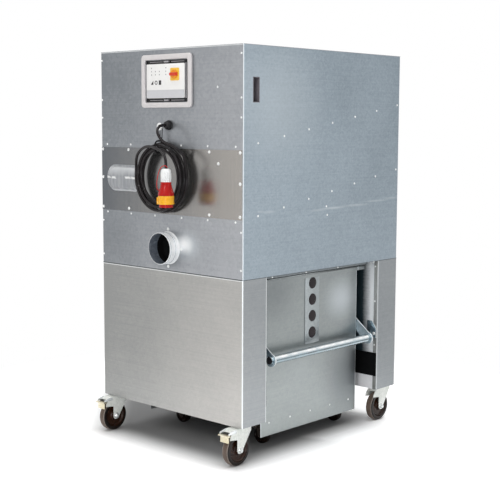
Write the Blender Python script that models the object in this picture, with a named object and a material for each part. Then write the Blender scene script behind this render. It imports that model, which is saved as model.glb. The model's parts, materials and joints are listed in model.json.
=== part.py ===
"""Workshop dust extractor on casters, with a filter deck, a fan and a roll-out dust bin.

Metres, +Z up. The controls and the hose inlet face -Y, the bin rolls out towards +X.
The origin lies on the floor below the middle of the machine's outer box, cord aside.
Run it with: blender --background --python part.py
"""

from math import atan, cos, pi, radians, sin, sqrt, tan

import bmesh
import bpy
from mathutils import Matrix, Vector

# Clearances and finish
GAP = 0.0003           # between pieces that touch
OVERRUN = 0.004        # how far a cutter passes the face it leaves
SINK = 0.0006          # how far welded pieces reach into each other
MERGE = 0.000001       # distance under which spun points become one
ROUND_STEPS = 24       # sides of a large round piece
SMALL_STEPS = 12       # sides of a small round piece
BEND_STEPS = 3         # facets of a folded corner

# Cabinet
WIDTH = 0.800          # along X
DEPTH = 0.980          # along Y
SHEET = 0.0015
BEND = 0.004           # outer radius of a folded corner
FLANGE = 0.030         # folded edge behind a front or rear panel
CORNER_CLEAR = 0.003   # keeps square pieces out of the folded corners
FOLD_CLEAR = 0.0015    # chamfer or step back of a piece that reaches into a fold
BASE = 0.150           # lower edge of the lower panels
COLUMN = 0.135         # width of the corner columns beside the bin bay
COLUMN_RETURN = 0.020  # fold of the columns into the bay
ROOF_LIP = 0.020
ROOF_LIP_INSET = 0.0045
SIDE = WIDTH / 2
FRONT = -DEPTH / 2
BAY = DEPTH / 2 - COLUMN

# Base frame
BEAM_TALL = 0.058
BEAM_WIDTH = 0.060     # beam along the closed side
BEAM_WALL = 0.002
WEB_RISE = 0.005       # underside of the web that carries the casters, above the lower edge
WALL_RISE = 0.102      # bay walls start this far above the beams
BEAM_TOP = BASE + BEAM_TALL
WEB_HEIGHT = BASE + WEB_RISE
REAR_BEAM_X = BEAM_WIDTH - SIDE
BAY_WALL_FOOT = BEAM_TOP + WALL_RISE

# Bin dolly
DOLLY_WHEEL_R = 0.0375
DOLLY_WHEEL_T = 0.024
DOLLY_HEADROOM = 0.0397
DOLLY_TALL = 0.022
DOLLY_SHEET = 0.0025
DOLLY_BAR = 0.060
DOLLY_INSET = 0.030    # dolly's front and rear edges inside the bin's walls
DOLLY_SIDE_INSET = 0.010
DOLLY_WHEEL_INSET = 0.060
DOLLY_ROW_NEAR = 0.100  # row of wheels near the controls, from the dolly's edge
DOLLY_ROW_FAR = 0.022
DOLLY_AXLE_R = 0.005
DOLLY_EAR = 0.003
DOLLY_EAR_HALF = 0.014
DOLLY_TOP = 2 * DOLLY_WHEEL_R + DOLLY_HEADROOM

# Dust bin
LIFT = 0.010           # the bail raises the bin this far off its dolly
BIN_DEEP = 0.557
BIN_APRON = 0.063      # front and rear walls below the floor
BIN_SETBACK = 0.075    # bin's front wall behind the cabinet's side
BIN_TAILROOM = 0.025   # between bin and base frame
BIN_SHEET = 0.0015
ARM_ROOM = 0.051       # between bin and bay, for the bail's arms
RIM_ROOM = 0.005
RIM_LIP = 0.007
RIM_TAIL = 0.015
RIM_TALL = 0.013
SIGHT_Y = 0.004
SIGHT_WIDTH = 0.090
SIGHT_TALL = 0.270
SIGHT_DROP = 0.014     # below the bin's top
SIGHT_T = 0.002
SIGHT_HOLES = 4
SIGHT_PITCH = 0.0645
SIGHT_MARGIN = 0.040   # lowest window above the strip's foot
SIGHT_R = 0.024
SIGHT_DEEP = 0.0012
BIN_FLOOR = DOLLY_TOP + LIFT + GAP
BIN_TOP = BIN_FLOOR + BIN_DEEP
BIN_FOOT = BIN_FLOOR - BIN_APRON
BIN_FRONT = SIDE - BIN_SETBACK
BIN_REAR = REAR_BEAM_X + BIN_TAILROOM
BIN_HALF = BAY - ARM_ROOM
RIM_FRONT = BIN_FRONT + RIM_LIP
RIM_REAR = BIN_REAR - RIM_TAIL
RIM_HALF = BAY - RIM_ROOM
SIGHT_HIGH = BIN_TOP - SIGHT_DROP
SIGHT_LOW = SIGHT_HIGH - SIGHT_TALL
DOLLY_FRONT = BIN_FRONT - DOLLY_INSET
DOLLY_REAR = BIN_REAR + DOLLY_INSET
DOLLY_HALF = BIN_HALF - DOLLY_SIDE_INSET

# Lifting bail of the bin
BAIL_SWING = radians(60)
BAIL_REST = radians(-40.4)
BAIL_SETBACK = 0.220   # pivot behind the cabinet's side
BAIL_DROP = 0.127      # pivot below the bin's top
BAIL_LENGTH = 0.267
BAIL_TUBE_R = 0.017
BAIL_TUBE_WALL = 0.002
BAIL_TUBE_END = 0.0085
ARM_PLAY = 0.0045      # between bin and arm
ARM_T = 0.005
ARM_HALF = 0.014
ARM_END_R = 0.026
CAM_H = 0.034          # pivot above the rail with the bin raised
STUD_R = 0.006
STUD_TAIL = 0.005
RAIL_END = 0.0145      # rail's end beyond the pivot
RAIL_LENGTH = 0.245
RAIL_T = 0.0025
RAIL_TALL = 0.026
RAIL_PLAY = 0.003      # between bin and rail
BAIL_X = SIDE - BAIL_SETBACK
BAIL_Z = BIN_TOP - BAIL_DROP
ARM_Y = BIN_HALF + ARM_PLAY
BAIL_TUBE_HALF = ARM_Y + ARM_T + BAIL_TUBE_END
RAIL_Y = BIN_HALF + RAIL_PLAY

# Chute deck and seal
SEAL_TALL = 0.030      # room between the bin's top and the joint of the two cabinets
CHUTE_INSET = 0.025
CHUTE_SIDE_INSET = 0.034
SEAL_WIDTH = 0.036
SEAM = BIN_TOP + SEAL_TALL
CHUTE_X = -BIN_REAR - CHUTE_INSET
CHUTE_Y = BIN_HALF - CHUTE_SIDE_INSET

# Filter decks
DECK_SLOPE = 0.172
RAW_ROOM = 0.316       # chute deck to lower deck at mid depth
FILTER_ROOM = 0.247    # between the decks
DECK_LIP = 0.026
AIR_WAY_SIDE = 0.100   # lower deck's opening from the cabinet's sides
AIR_WAY_END = 0.110
CASSETTE_SIDE = 0.065  # cassette from the cabinet's sides
CASSETTE_NEAR = 0.050
CASSETTE_FAR = 0.090
CASSETTE_RIM = 0.018
PLEATS = 18
PLEAT_PAPER = 0.003
PLEAT_EDGE = 0.005     # how far the folds stay inside the rim's edges
LOWER_DECK = SEAM + RAW_ROOM
UPPER_DECK = LOWER_DECK + FILTER_ROOM
AIR_WAY_X = SIDE - AIR_WAY_SIDE
AIR_WAY_Y = DEPTH / 2 - AIR_WAY_END
CASSETTE_X = SIDE - CASSETTE_SIDE
CASSETTE_FRONT = FRONT + CASSETTE_NEAR
CASSETTE_BACK = -FRONT - CASSETTE_FAR

# Fan unit on the upper deck, in its own tilted frame
FAN_Y = -0.030
FAN_HEADROOM = 0.049
EYE_R = 0.104
EYE_RUN = 0.004
IMPELLER_R = 0.145
IMPELLER_LOW = 0.012
SHROUD_RISE = 0.016
BLADE_HIGH = 0.066
DISC_T = 0.002
BLADES = 9
BLADE_T = 0.002
BLADE_ROOT_R = 0.086
BLADE_SWEEP = radians(62)
HUB_R = 0.022
SHAFT_R = 0.012
STAND_SIZE = 0.330
STAND_HIGH = 0.098
STAND_PLATE = 0.003
STAND_LEG = 0.018
MOTOR_R = 0.066
MOTOR_LENGTH = 0.150
MOTOR_FLANGE_RIM = 0.014  # mounting flange beyond the motor's body
MOTOR_FLANGE_T = 0.010
MOTOR_FINS = 20
FIN_RISE = 0.007
MOTOR_CAP = 0.018
SHAFT_IN_MOTOR = 0.050
MOTOR_BOX = (0.070, 0.036, 0.060)
MOTOR_FLANGE_R = MOTOR_R + MOTOR_FLANGE_RIM
FIN_R = MOTOR_R + FIN_RISE
HEIGHT = UPPER_DECK + STAND_HIGH + STAND_PLATE + MOTOR_LENGTH + FAN_HEADROOM

# Front panel and filter cover
COVER_BELOW = 0.094    # cover's lower edge below the lower deck at mid depth
COVER_BELOW_TOP = 0.084
COVER_SEAT = 0.014     # overlap of the cover on the front panel
COVER_FRAME = 0.040    # front panel left beside the opening
WINDOW_INSET = 0.150   # middle of the window from the cabinet's side
WINDOW_RAISE = 0.134   # middle of the window above the cover's lower edge
WINDOW_LENGTH = 0.220
WINDOW_HEIGHT = 0.106
WINDOW_RIM = 0.010
WINDOW_RISE = 0.016
WINDOW_WALL = 0.0025
WINDOW_FLANGE = 0.003
COVER_LOW = LOWER_DECK - COVER_BELOW
COVER_HIGH = UPPER_DECK - COVER_BELOW_TOP
COVER_OPENING_X = SIDE - COVER_FRAME
WINDOW_X = WINDOW_INSET - SIDE
WINDOW_Z = COVER_LOW + WINDOW_RAISE

# Hose inlet
INLET_RAISE = 0.091    # above the joint of the two cabinets
INLET_R = 0.062
INLET_WALL = 0.0015
INLET_REACH = 0.048
INLET_TAIL = 0.030
INLET_COLLAR = 0.016
INLET_BEAD = 0.0022
INLET_Z = SEAM + INLET_RAISE

# Controls
PANEL_DROP = 0.125     # middle of the controls below the top
PANEL_FRAME_X = 0.280
PANEL_FRAME_Z = 0.204
PANEL_FRAME_BAR = 0.020
PANEL_FRAME_RISE = 0.011
PANEL_CORNER = 0.012
CONTROL_DEPTH = 0.095
CONTROL_LIP = 0.002
CONTROL_FACE_X = 0.214
CONTROL_FACE_Z = 0.131
CONTROL_RISE = 0.010
CONTROL_FACE_T = 0.002
CONTROL_UNDERCUT = 0.004
SWITCH_X = 0.0545
SWITCH_RAISE = 0.0245  # above the middle of the controls
SWITCH_SIZE = 0.048
SWITCH_PLATE_T = 0.003
KNOB_R = 0.0165
KNOB_T = 0.006
KNOB_GRIP = (0.036, 0.010, 0.013)
KNOB_SPINDLE_R = 0.004
PANEL_Z = HEIGHT - PANEL_DROP
SWITCH_Z = PANEL_Z + SWITCH_RAISE

# Grip pocket in the side panel
GRIP_INSET = 0.070
GRIP_DROP = 0.1635
GRIP_WIDTH = 0.036
GRIP_TALL = 0.093
GRIP_DEPTH = 0.028
GRIP_WALL = 0.002
GRIP_Y = FRONT + GRIP_INSET
GRIP_Z = HEIGHT - GRIP_DROP

# Exhaust louvres in the rear panel
LOUVRE_OFFSET = 0.160  # middle of each column from the panel's middle
LOUVRE_ROWS = 7
LOUVRE_PITCH = 0.022
LOUVRE_DROP = 0.038    # foot of the highest louvre below the top
LOUVRE_LENGTH = 0.260
LOUVRE_RISE = 0.010
LOUVRE_TALL = 0.016
LOUVRE_WALL = 0.0012
LOUVRE_LOW = HEIGHT - LOUVRE_DROP - (LOUVRE_ROWS - 1) * LOUVRE_PITCH

# Cord group on the front
GLAND_X = 0.008
GLAND_DROP = 0.169     # below the middle of the controls
GLAND_R = 0.019
GLAND_FLAT = 0.008
GLAND_NOSE_R = 0.0085
GLAND_REACH = 0.022
HOOK_X = -0.018
HOOK_DROP = 0.006
HOOK_ROD_R = 0.005
HOOK_REACH = 0.030
HOOK_FOOT_R = 0.0065
HOOK_FOOT_T = 0.002
HOOK_CAP_R = 0.015
HOOK_CAP_T = 0.006
CORD_D = 0.011
COIL_X = -0.006
COIL_DROP = 0.200      # middle of the coil below the gland
COIL_R = 0.1365        # middle of the outermost turn
COIL_TALL_SHARE = 1.028
COIL_STEP = 0.0135     # each turn in a layer lies this much further in
COIL_BACK = 0.022      # back layer's distance from the front panel
COIL_FRONT = 0.046     # front layer's distance from the front panel
COIL_START = radians(20)
COIL_TURNS_IN = 2.25
COIL_TURNS_CLIMB = 0.5
COIL_TURNS_OUT = 1.8333
LOOP_POINTS = 24
PLUG_X = 0.1065
PLUG_OUT = 0.110
PLUG_DROP = 0.162
NUT_LENGTH = 0.050
NUT_R = 0.0205
PLUG_BODY_TOP_R = 0.0205
PLUG_BODY_R = 0.0300
PLUG_BODY_LENGTH = 0.052
PLUG_NECK_R = 0.0264
PLUG_RING_R = 0.0312
PLUG_RING_LENGTH = 0.032
PLUG_TIP_LENGTH = 0.012
PLUG_CUP_R = 0.0236
PLUG_CUP_DEPTH = 0.034
PLUG_PINS = 5
PIN_R = 0.0027
PIN_CIRCLE = 0.0145
PIN_SHORT = 0.004
RING_TAB = (0.008, 0.016, 0.026)
GLAND_Z = PANEL_Z - GLAND_DROP
HOOK_Z = GLAND_Z - HOOK_DROP
COIL_Z = GLAND_Z - COIL_DROP
PLUG_TOP = GLAND_Z - PLUG_DROP

# Free stretches of the cord from the gland and from the plug to the coil's ends:
# x, distance out from the front panel, height below the gland
LEAD_ROUTE = (
    (0.0105, 0.0545, -0.0055), (0.0180, 0.0710, -0.0190), (0.0315, 0.0785, -0.0395),
    (0.0525, 0.0720, -0.0625), (0.0820, 0.0505, -0.0790), (0.0970, 0.0410, -0.0900),
    (0.1085, 0.0335, -0.1040), (0.1145, 0.0255, -0.1175),
)
TAIL_ROUTE = (
    (0.0950, 0.1040, -0.1220), (0.0660, 0.0940, -0.1000), (0.0240, 0.0860, -0.0880),
    (-0.0100, 0.0780, -0.0825), (-0.0430, 0.0710, -0.0825), (-0.0735, 0.0650, -0.0895),
    (-0.1030, 0.0595, -0.1060), (-0.1265, 0.0510, -0.1310),
)
TUBE_STEP = 0.024      # distance between the points of a free stretch

# Machine casters
CASTER_INSET_X = 0.042
CASTER_INSET_Y = 0.040
WHEEL_R = 0.0625
WHEEL_T = 0.033
WHEEL_HUB_R = 0.016
WHEEL_HUB_T = 0.039
WHEEL_WEB_T = 0.014
TRAIL = 0.030
AXLE_R = 0.006
AXLE_BOSS = 0.014
LEG_INNER = 0.020
LEG_T = 0.0025
FORK_DROP = 0.0035     # fork's top below the cabinet's lower edge
FORK_ROOF = 0.003
FORK_HEAD = 0.031
HORN_REACH = 0.085     # tip of the fork's hood from the swivel's axis
HORN_DROP = 0.0365     # tip of the fork's hood below the fork's top
RACE_R = 0.032
CASTER_PLATE_X = 0.067
CASTER_PLATE_Y = 0.066
CASTER_PLATE_T = 0.003
CASTER_X = SIDE - CASTER_INSET_X
CASTER_Y = DEPTH / 2 - CASTER_INSET_Y
FORK_TOP = BASE - FORK_DROP

# Brake pedals of the front casters
PEDAL_PIVOT = 0.055    # pin from the swivel's axis
PEDAL_PIVOT_DROP = 0.0155
PEDAL_REACH = 0.100    # tip from the swivel's axis
PEDAL_SINK = 0.0035    # tread's top below the pin's top
PEDAL_T = 0.0025
PEDAL_ARM = 0.0165     # half width of the arm inside the hood
PEDAL_WIDE = 0.025     # half width of the tread
PEDAL_TREAD = 0.0135   # tread's length
PEDAL_TREAD_T = 0.006
PEDAL_LIP = 0.021      # half width of the plate below the tread
PEDAL_LIP_TALL = 0.030
PEDAL_LIP_SETBACK = 0.007
PEDAL_PIN_R = 0.0032

# Places that follow from the sizes
INNER_SIDE = SIDE - SHEET - GAP
INNER_FRONT = DEPTH / 2 - SHEET - GAP
BEHIND_FLANGE = INNER_FRONT - SHEET - GAP
WALL_FACE = BAY + SHEET + GAP
LOWER_TOP = SEAM - SHEET - GAP
UPPER_FOOT = SEAM + GAP
UPPER_TOP = HEIGHT - SHEET - GAP
COVER_FACE = FRONT - GAP - SHEET
FRONT_REACH = max(CASTER_Y + PEDAL_REACH, DEPTH / 2 + INLET_REACH)
REAR_REACH = DEPTH / 2 + LOUVRE_RISE
CENTRE_Y = (FRONT_REACH - REAR_REACH) / 2
BAIL_REACH = BAIL_X + BAIL_LENGTH * cos(BAIL_REST) + ARM_END_R
CENTRE_X = (SIDE - BAIL_REACH) / 2
FAN_TILT = atan(DECK_SLOPE)
FAN_Z = UPPER_DECK + SHEET + DECK_SLOPE * FAN_Y
LIFT_RATE = LIFT / BAIL_SWING


def clear_scene():
    for obj in list(bpy.data.objects):
        bpy.data.objects.remove(obj, do_unlink=True)


def finish(name, colour, roughness, metallic=0.0, alpha=1.0):
    """A Principled material with its colour given as 0 to 255 sRGB values."""
    mat = bpy.data.materials.new(name)
    mat.use_nodes = True
    shader = mat.node_tree.nodes["Principled BSDF"]
    linear = [(c / 255 / 12.92) if c <= 10 else ((c / 255 + 0.055) / 1.055) ** 2.4 for c in colour]
    shader.inputs["Base Color"].default_value = (*linear, 1.0)
    shader.inputs["Roughness"].default_value = roughness
    shader.inputs["Metallic"].default_value = metallic
    shader.inputs["Alpha"].default_value = alpha
    mat.diffuse_color = (*linear, alpha)
    return mat


def empty(name, at=(0, 0, 0), tilt=0.0, parent=None):
    obj = bpy.data.objects.new(name, None)
    bpy.context.scene.collection.objects.link(obj)
    obj.location = at
    obj.rotation_euler = (tilt, 0, 0)
    obj.parent = parent
    return obj


# Outlines

def rect(a0, b0, a1, b1):
    return [(a0, b0), (a1, b0), (a1, b1), (a0, b1)]


def arc(centre_a, centre_b, radius, start, end, steps):
    angles = [start + (end - start) * i / steps for i in range(steps + 1)]
    return [(centre_a + radius * cos(t), centre_b + radius * sin(t)) for t in angles]


def circle(centre_a, centre_b, radius, steps):
    return arc(centre_a, centre_b, radius, 0, 2 * pi, steps)[:-1]


def rounded(a0, b0, a1, b1, radius, steps=2):
    points = arc(a1 - radius, b1 - radius, radius, 0, pi / 2, steps)
    points += arc(a0 + radius, b1 - radius, radius, pi / 2, pi, steps)
    points += arc(a0 + radius, b0 + radius, radius, pi, 1.5 * pi, steps)
    points += arc(a1 - radius, b0 + radius, radius, 1.5 * pi, 2 * pi, steps)
    return points


def obround(centre_a, centre_b, length, height, steps=8):
    radius = height / 2
    reach = length / 2 - radius
    points = arc(centre_a + reach, centre_b, radius, -pi / 2, pi / 2, steps)
    points += arc(centre_a - reach, centre_b, radius, pi / 2, 1.5 * pi, steps)
    return points


def folded(path, thickness, radius, turn):
    """Outline of a folded sheet: path is its outer skin, turn is 1 where the sheet lies left of it."""
    skin = []
    last = len(path) - 1
    for i, point in enumerate(path):
        here = Vector(point)
        if i in (0, last):
            run = (Vector(path[1]) - here) if i == 0 else (here - Vector(path[last - 1]))
            run.normalize()
            skin.append((here, Vector((-run.y, run.x)) * turn))
            continue
        before = (here - Vector(path[i - 1])).normalized()
        after = (Vector(path[i + 1]) - here).normalized()
        normal_in = Vector((-before.y, before.x)) * turn
        normal_out = Vector((-after.y, after.x)) * turn
        bend = before.angle(after)
        centre = here - before * (radius * tan(bend / 2)) + normal_in * radius
        for step in range(BEND_STEPS + 1):
            share = step / BEND_STEPS
            normal = normal_in.lerp(normal_out, share)
            normal = (normal_in * sin((1 - share) * bend) + normal_out * sin(share * bend)) / sin(bend)
            skin.append((centre - normal * radius, normal))
    outer = [tuple(point) for point, _ in skin]
    inner = [tuple(point + normal * thickness) for point, normal in skin]
    return outer + inner[::-1]


# Meshes

def lay(axis, a, b, c):
    """Turns outline values a and b and a height c along the named axis into a point."""
    return {"X": (c, a, b), "Y": (a, c, b), "Z": (a, b, c)}[axis]


def add_prism(bm, outline, axis, low, high):
    face = bm.faces.new([bm.verts.new(lay(axis, a, b, low)) for a, b in outline])
    grown = bmesh.ops.extrude_face_region(bm, geom=[face])["geom"]
    verts = [item for item in grown if isinstance(item, bmesh.types.BMVert)]
    bmesh.ops.translate(bm, verts=verts, vec=lay(axis, 0, 0, high - low))


def turn_to(axis):
    """Turns local +Z towards the named axis."""
    return {
        "Z": Matrix(), "-Z": Matrix.Rotation(pi, 4, "X"),
        "X": Matrix.Rotation(pi / 2, 4, "Y"), "Y": Matrix.Rotation(-pi / 2, 4, "X"),
        "-Y": Matrix.Rotation(pi / 2, 4, "X"),
    }[axis]


def add_turned(bm, profile, steps, axis="Z", at=(0, 0, 0), ring=False):
    """Spins a profile of radius and height pairs. A ring profile closes on itself."""
    verts = [bm.verts.new((radius, 0, height)) for radius, height in profile]
    edges = [bm.edges.new(pair) for pair in zip(verts, verts[1:])]
    if ring:
        edges.append(bm.edges.new((verts[-1], verts[0])))
    start = set(bm.verts) - set(verts)
    bmesh.ops.spin(bm, geom=verts + edges, cent=(0, 0, 0), axis=(0, 0, 1), angle=2 * pi,
                   steps=steps, use_duplicate=False)
    fresh = [v for v in bm.verts if v not in start]
    bmesh.ops.remove_doubles(bm, verts=fresh, dist=MERGE)
    fresh = [v for v in bm.verts if v not in start]
    bmesh.ops.transform(bm, matrix=Matrix.Translation(at) @ turn_to(axis), verts=fresh)


def add_tray(bm, low, high, open_faces):
    """A box without the faces whose outward normals are listed, ready for a wall thickness."""
    made = bmesh.ops.create_cube(bm, size=1)["verts"]
    size = Vector(high) - Vector(low)
    middle = (Vector(high) + Vector(low)) / 2
    bmesh.ops.scale(bm, vec=size, verts=made)
    bmesh.ops.translate(bm, vec=middle, verts=made)
    bm.normal_update()
    faces = {face for vert in made for face in vert.link_faces}
    gone = [f for f in faces if any((f.normal - Vector(way)).length < 0.5 for way in open_faces)]
    bmesh.ops.delete(bm, geom=gone, context="FACES_ONLY")


def slope(bm, rate):
    """Shears a deck so that it climbs towards the rear, with its lips still upright."""
    for vert in bm.verts:
        vert.co.z += rate * vert.co.y


def body(name, bm, mat, parent, origin=(0, 0, 0), smooth=False, recalc=True):
    if recalc:
        bmesh.ops.recalc_face_normals(bm, faces=list(bm.faces))
    bmesh.ops.translate(bm, vec=-Vector(origin), verts=list(bm.verts))
    mesh = bpy.data.meshes.new(name)
    bm.to_mesh(mesh)
    bm.free()
    obj = bpy.data.objects.new(name, mesh)
    bpy.context.scene.collection.objects.link(obj)
    obj.parent = parent
    obj.location = Vector(origin) - parent_origin(parent)
    obj["origin"] = tuple(origin)
    if mat:
        mesh.materials.append(mat)
    if smooth:
        mesh.shade_smooth()
        mesh.set_sharp_from_angle(angle=radians(35))
    return obj


def parent_origin(parent):
    """Where a parent's origin lies in the frame that its children are written in."""
    return Vector(parent["origin"]) if "origin" in parent.keys() else Vector((0, 0, 0))


def combine(obj, tool, operation):
    """Adds a Boolean with a hidden tool that shares the object's parent and origin."""
    tool.hide_render = True
    tool.display_type = "WIRE"
    step = obj.modifiers.new(tool.name, "BOOLEAN")
    step.operation = operation
    step.solver = "EXACT"
    step.object = tool


def tool_for(obj, label, bm):
    return body(obj.name + "_" + label, bm, None, obj.parent, tuple(obj["origin"]))


def cut(obj, label, build):
    bm = bmesh.new()
    build(bm)
    combine(obj, tool_for(obj, label, bm), "DIFFERENCE")


def weld(obj, label, build):
    bm = bmesh.new()
    build(bm)
    combine(obj, tool_for(obj, label, bm), "UNION")


def keep_inside(obj, label, build):
    bm = bmesh.new()
    build(bm)
    combine(obj, tool_for(obj, label, bm), "INTERSECT")


def prism(name, outline, axis, low, high, mat, parent, origin=(0, 0, 0), smooth=False):
    bm = bmesh.new()
    add_prism(bm, outline, axis, low, high)
    return body(name, bm, mat, parent, origin, smooth)


def turned(name, profile, steps, mat, parent, axis="Z", at=(0, 0, 0), origin=(0, 0, 0), ring=False):
    bm = bmesh.new()
    add_turned(bm, profile, steps, axis, at, ring)
    return body(name, bm, mat, parent, origin, smooth=True)


def tray(name, low, high, open_faces, wall, mat, parent, rate=0.0):
    bm = bmesh.new()
    add_tray(bm, low, high, open_faces)
    slope(bm, rate)
    obj = body(name, bm, mat, parent, recalc=False)
    skin = obj.modifiers.new("wall", "SOLIDIFY")
    skin.thickness = wall
    skin.offset = -1
    skin.use_even_offset = True
    return obj


# Cabinet panels

def frame_plan(inset):
    """Plan of the base frame, a U that is open towards the bin's way out."""
    left = -(SIDE - ROOF_LIP_INSET) + inset
    right = INNER_SIDE - inset
    outer = BEHIND_FLANGE - inset
    inner = WALL_FACE + inset
    beam = REAR_BEAM_X - inset
    fold = FOLD_CLEAR
    return [(left, -outer), (right, -outer), (right, -inner - fold), (right - fold, -inner),
            (beam, -inner), (beam, inner), (right - fold, inner), (right, inner + fold),
            (right, outer), (left, outer)]


def base_frame(mat, parent):
    obj = prism("base_frame", frame_plan(0), "Z", BASE, BEAM_TOP, mat, parent)
    pocket = frame_plan(BEAM_WALL)
    cut(obj, "top_pocket",
        lambda bm: add_prism(bm, pocket, "Z", WEB_HEIGHT + BEAM_WALL, BEAM_TOP + OVERRUN))
    cut(obj, "foot_pocket", lambda bm: add_prism(bm, pocket, "Z", BASE - OVERRUN, WEB_HEIGHT))


def lower_panels(mats, parent):
    for name, way in (("front_lower_panel", -1), ("rear_lower_panel", 1)):
        path = [(-(SIDE - BEND), way * DEPTH / 2), (SIDE, way * DEPTH / 2), (SIDE, way * BAY),
                (SIDE - COLUMN_RETURN, way * BAY)]
        plan = folded(path, SHEET, BEND, -way)
        prism(name, plan, "Z", BASE, LOWER_TOP, mats["lower_sheet"], parent)
    side_channel("left_lower_panel", -1, BASE, LOWER_TOP, mats["lower_sheet"], parent)


def side_channel(name, way, low, high, mat, parent):
    """A side sheet with a folded flange behind the front and the rear panel."""
    path = [(way * (SIDE - FLANGE), -INNER_FRONT), (way * SIDE, -INNER_FRONT),
            (way * SIDE, INNER_FRONT), (way * (SIDE - FLANGE), INNER_FRONT)]
    return prism(name, folded(path, SHEET, BEND, way), "Z", low, high, mat, parent)


def bay_walls(mat, parent):
    """Walls of the bin bay, each with the welded rail that the bail's cam stands on."""
    rail_top = BAIL_Z - CAM_H - GAP
    rail_front = BAIL_X + RAIL_END
    for name, way in (("bay_wall_front", -1), ("bay_wall_rear", 1)):
        near, far = sorted((way * WALL_FACE, way * (WALL_FACE + SHEET)))
        obj = prism(name, rect(-INNER_SIDE, BAY_WALL_FOOT, INNER_SIDE - FOLD_CLEAR, LOWER_TOP), "Y",
                    near, far, mat, parent)
        path = [(way * RAIL_Y, rail_top), (way * (WALL_FACE + SINK), rail_top),
                (way * (WALL_FACE + SINK), rail_top - RAIL_TALL)]
        shelf = folded(path, RAIL_T, RAIL_T + MERGE, -way)
        weld(obj, "rail", lambda bm, shelf=shelf: add_prism(
            bm, shelf, "X", rail_front - RAIL_LENGTH, rail_front))


def chute_deck(mat, parent):
    obj = prism("chute_deck", rect(-SIDE + GAP, FRONT + GAP, SIDE - GAP, -FRONT - GAP), "Z",
                SEAM - SHEET, SEAM, mat, parent)
    cut(obj, "chute", lambda bm: add_prism(
        bm, rounded(-CHUTE_X, -CHUTE_Y, CHUTE_X, CHUTE_Y, PANEL_CORNER), "Z",
        SEAM - SHEET - OVERRUN, SEAM + OVERRUN))


def bin_seal(mat, parent):
    outer = rounded(-CHUTE_X - SEAL_WIDTH, -CHUTE_Y - SEAL_WIDTH - SEAL_WIDTH / 2,
                    CHUTE_X + SEAL_WIDTH, CHUTE_Y + SEAL_WIDTH + SEAL_WIDTH / 2, PANEL_CORNER)
    obj = prism("bin_seal", outer, "Z", BIN_TOP + GAP, LOWER_TOP, mat, parent)
    cut(obj, "opening", lambda bm: add_prism(
        bm, rounded(-CHUTE_X, -CHUTE_Y, CHUTE_X, CHUTE_Y, PANEL_CORNER), "Z",
        BIN_TOP - OVERRUN, SEAM + OVERRUN))


def side_panels(mats, parent):
    right = side_channel("side_panel_right", 1, UPPER_FOOT, UPPER_TOP, mats["upper_sheet"], parent)
    cut(right, "grip_slot", lambda bm: add_prism(
        bm, rect(*grip_slot(0)), "X", SIDE - SHEET - OVERRUN, SIDE + OVERRUN))
    side_channel("side_panel_left", -1, UPPER_FOOT, UPPER_TOP, mats["upper_sheet"], parent)
    low = (SIDE - GRIP_DEPTH, GRIP_Y - GRIP_WIDTH / 2 + GAP, GRIP_Z - GRIP_TALL / 2 + GAP)
    high = (SIDE, GRIP_Y + GRIP_WIDTH / 2 - GAP, GRIP_Z + GRIP_TALL / 2 - GAP)
    tray("side_grip", low, high, [(1, 0, 0)], GRIP_WALL, mats["black"], parent)


def grip_slot(inset):
    return (GRIP_Y - GRIP_WIDTH / 2 + inset, GRIP_Z - GRIP_TALL / 2 + inset,
            GRIP_Y + GRIP_WIDTH / 2 - inset, GRIP_Z + GRIP_TALL / 2 - inset)


def front_panel(mat, parent):
    edge = SIDE - BEND
    obj = prism("front_panel", rect(-edge, UPPER_FOOT, edge, UPPER_TOP), "Y",
                FRONT, FRONT + SHEET, mat, parent)
    near, far = FRONT - OVERRUN, FRONT + SHEET + OVERRUN
    cut(obj, "filter_opening", lambda bm: add_prism(
        bm, rect(-COVER_OPENING_X, COVER_LOW + COVER_SEAT, COVER_OPENING_X, COVER_HIGH - COVER_SEAT),
        "Y", near, far))
    half_x, half_z = control_opening()
    cut(obj, "control_opening", lambda bm: add_prism(
        bm, rect(-half_x, PANEL_Z - half_z, half_x, PANEL_Z + half_z), "Y", near, far))
    cut(obj, "inlet_hole", lambda bm: add_prism(
        bm, circle(0, INLET_Z, INLET_R + GAP, ROUND_STEPS), "Y", near, far))


def control_opening():
    """Half sizes of the cut-out that the control box hangs in."""
    return (PANEL_FRAME_X / 2 - PANEL_FRAME_BAR - CONTROL_LIP,
            PANEL_FRAME_Z / 2 - PANEL_FRAME_BAR - CONTROL_LIP)


def filter_cover(mats, parent):
    edge = SIDE - BEND
    obj = prism("filter_cover", rect(-edge, COVER_LOW, edge, COVER_HIGH), "Y",
                COVER_FACE, COVER_FACE + SHEET, mats["cover"], parent)
    cut(obj, "window_hole", lambda bm: add_prism(
        bm, obround(WINDOW_X, WINDOW_Z, WINDOW_LENGTH - 2 * WINDOW_RIM, WINDOW_HEIGHT - 2 * WINDOW_RIM),
        "Y", COVER_FACE - OVERRUN, COVER_FACE + SHEET + OVERRUN))
    window(mats["clear"], parent)


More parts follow.
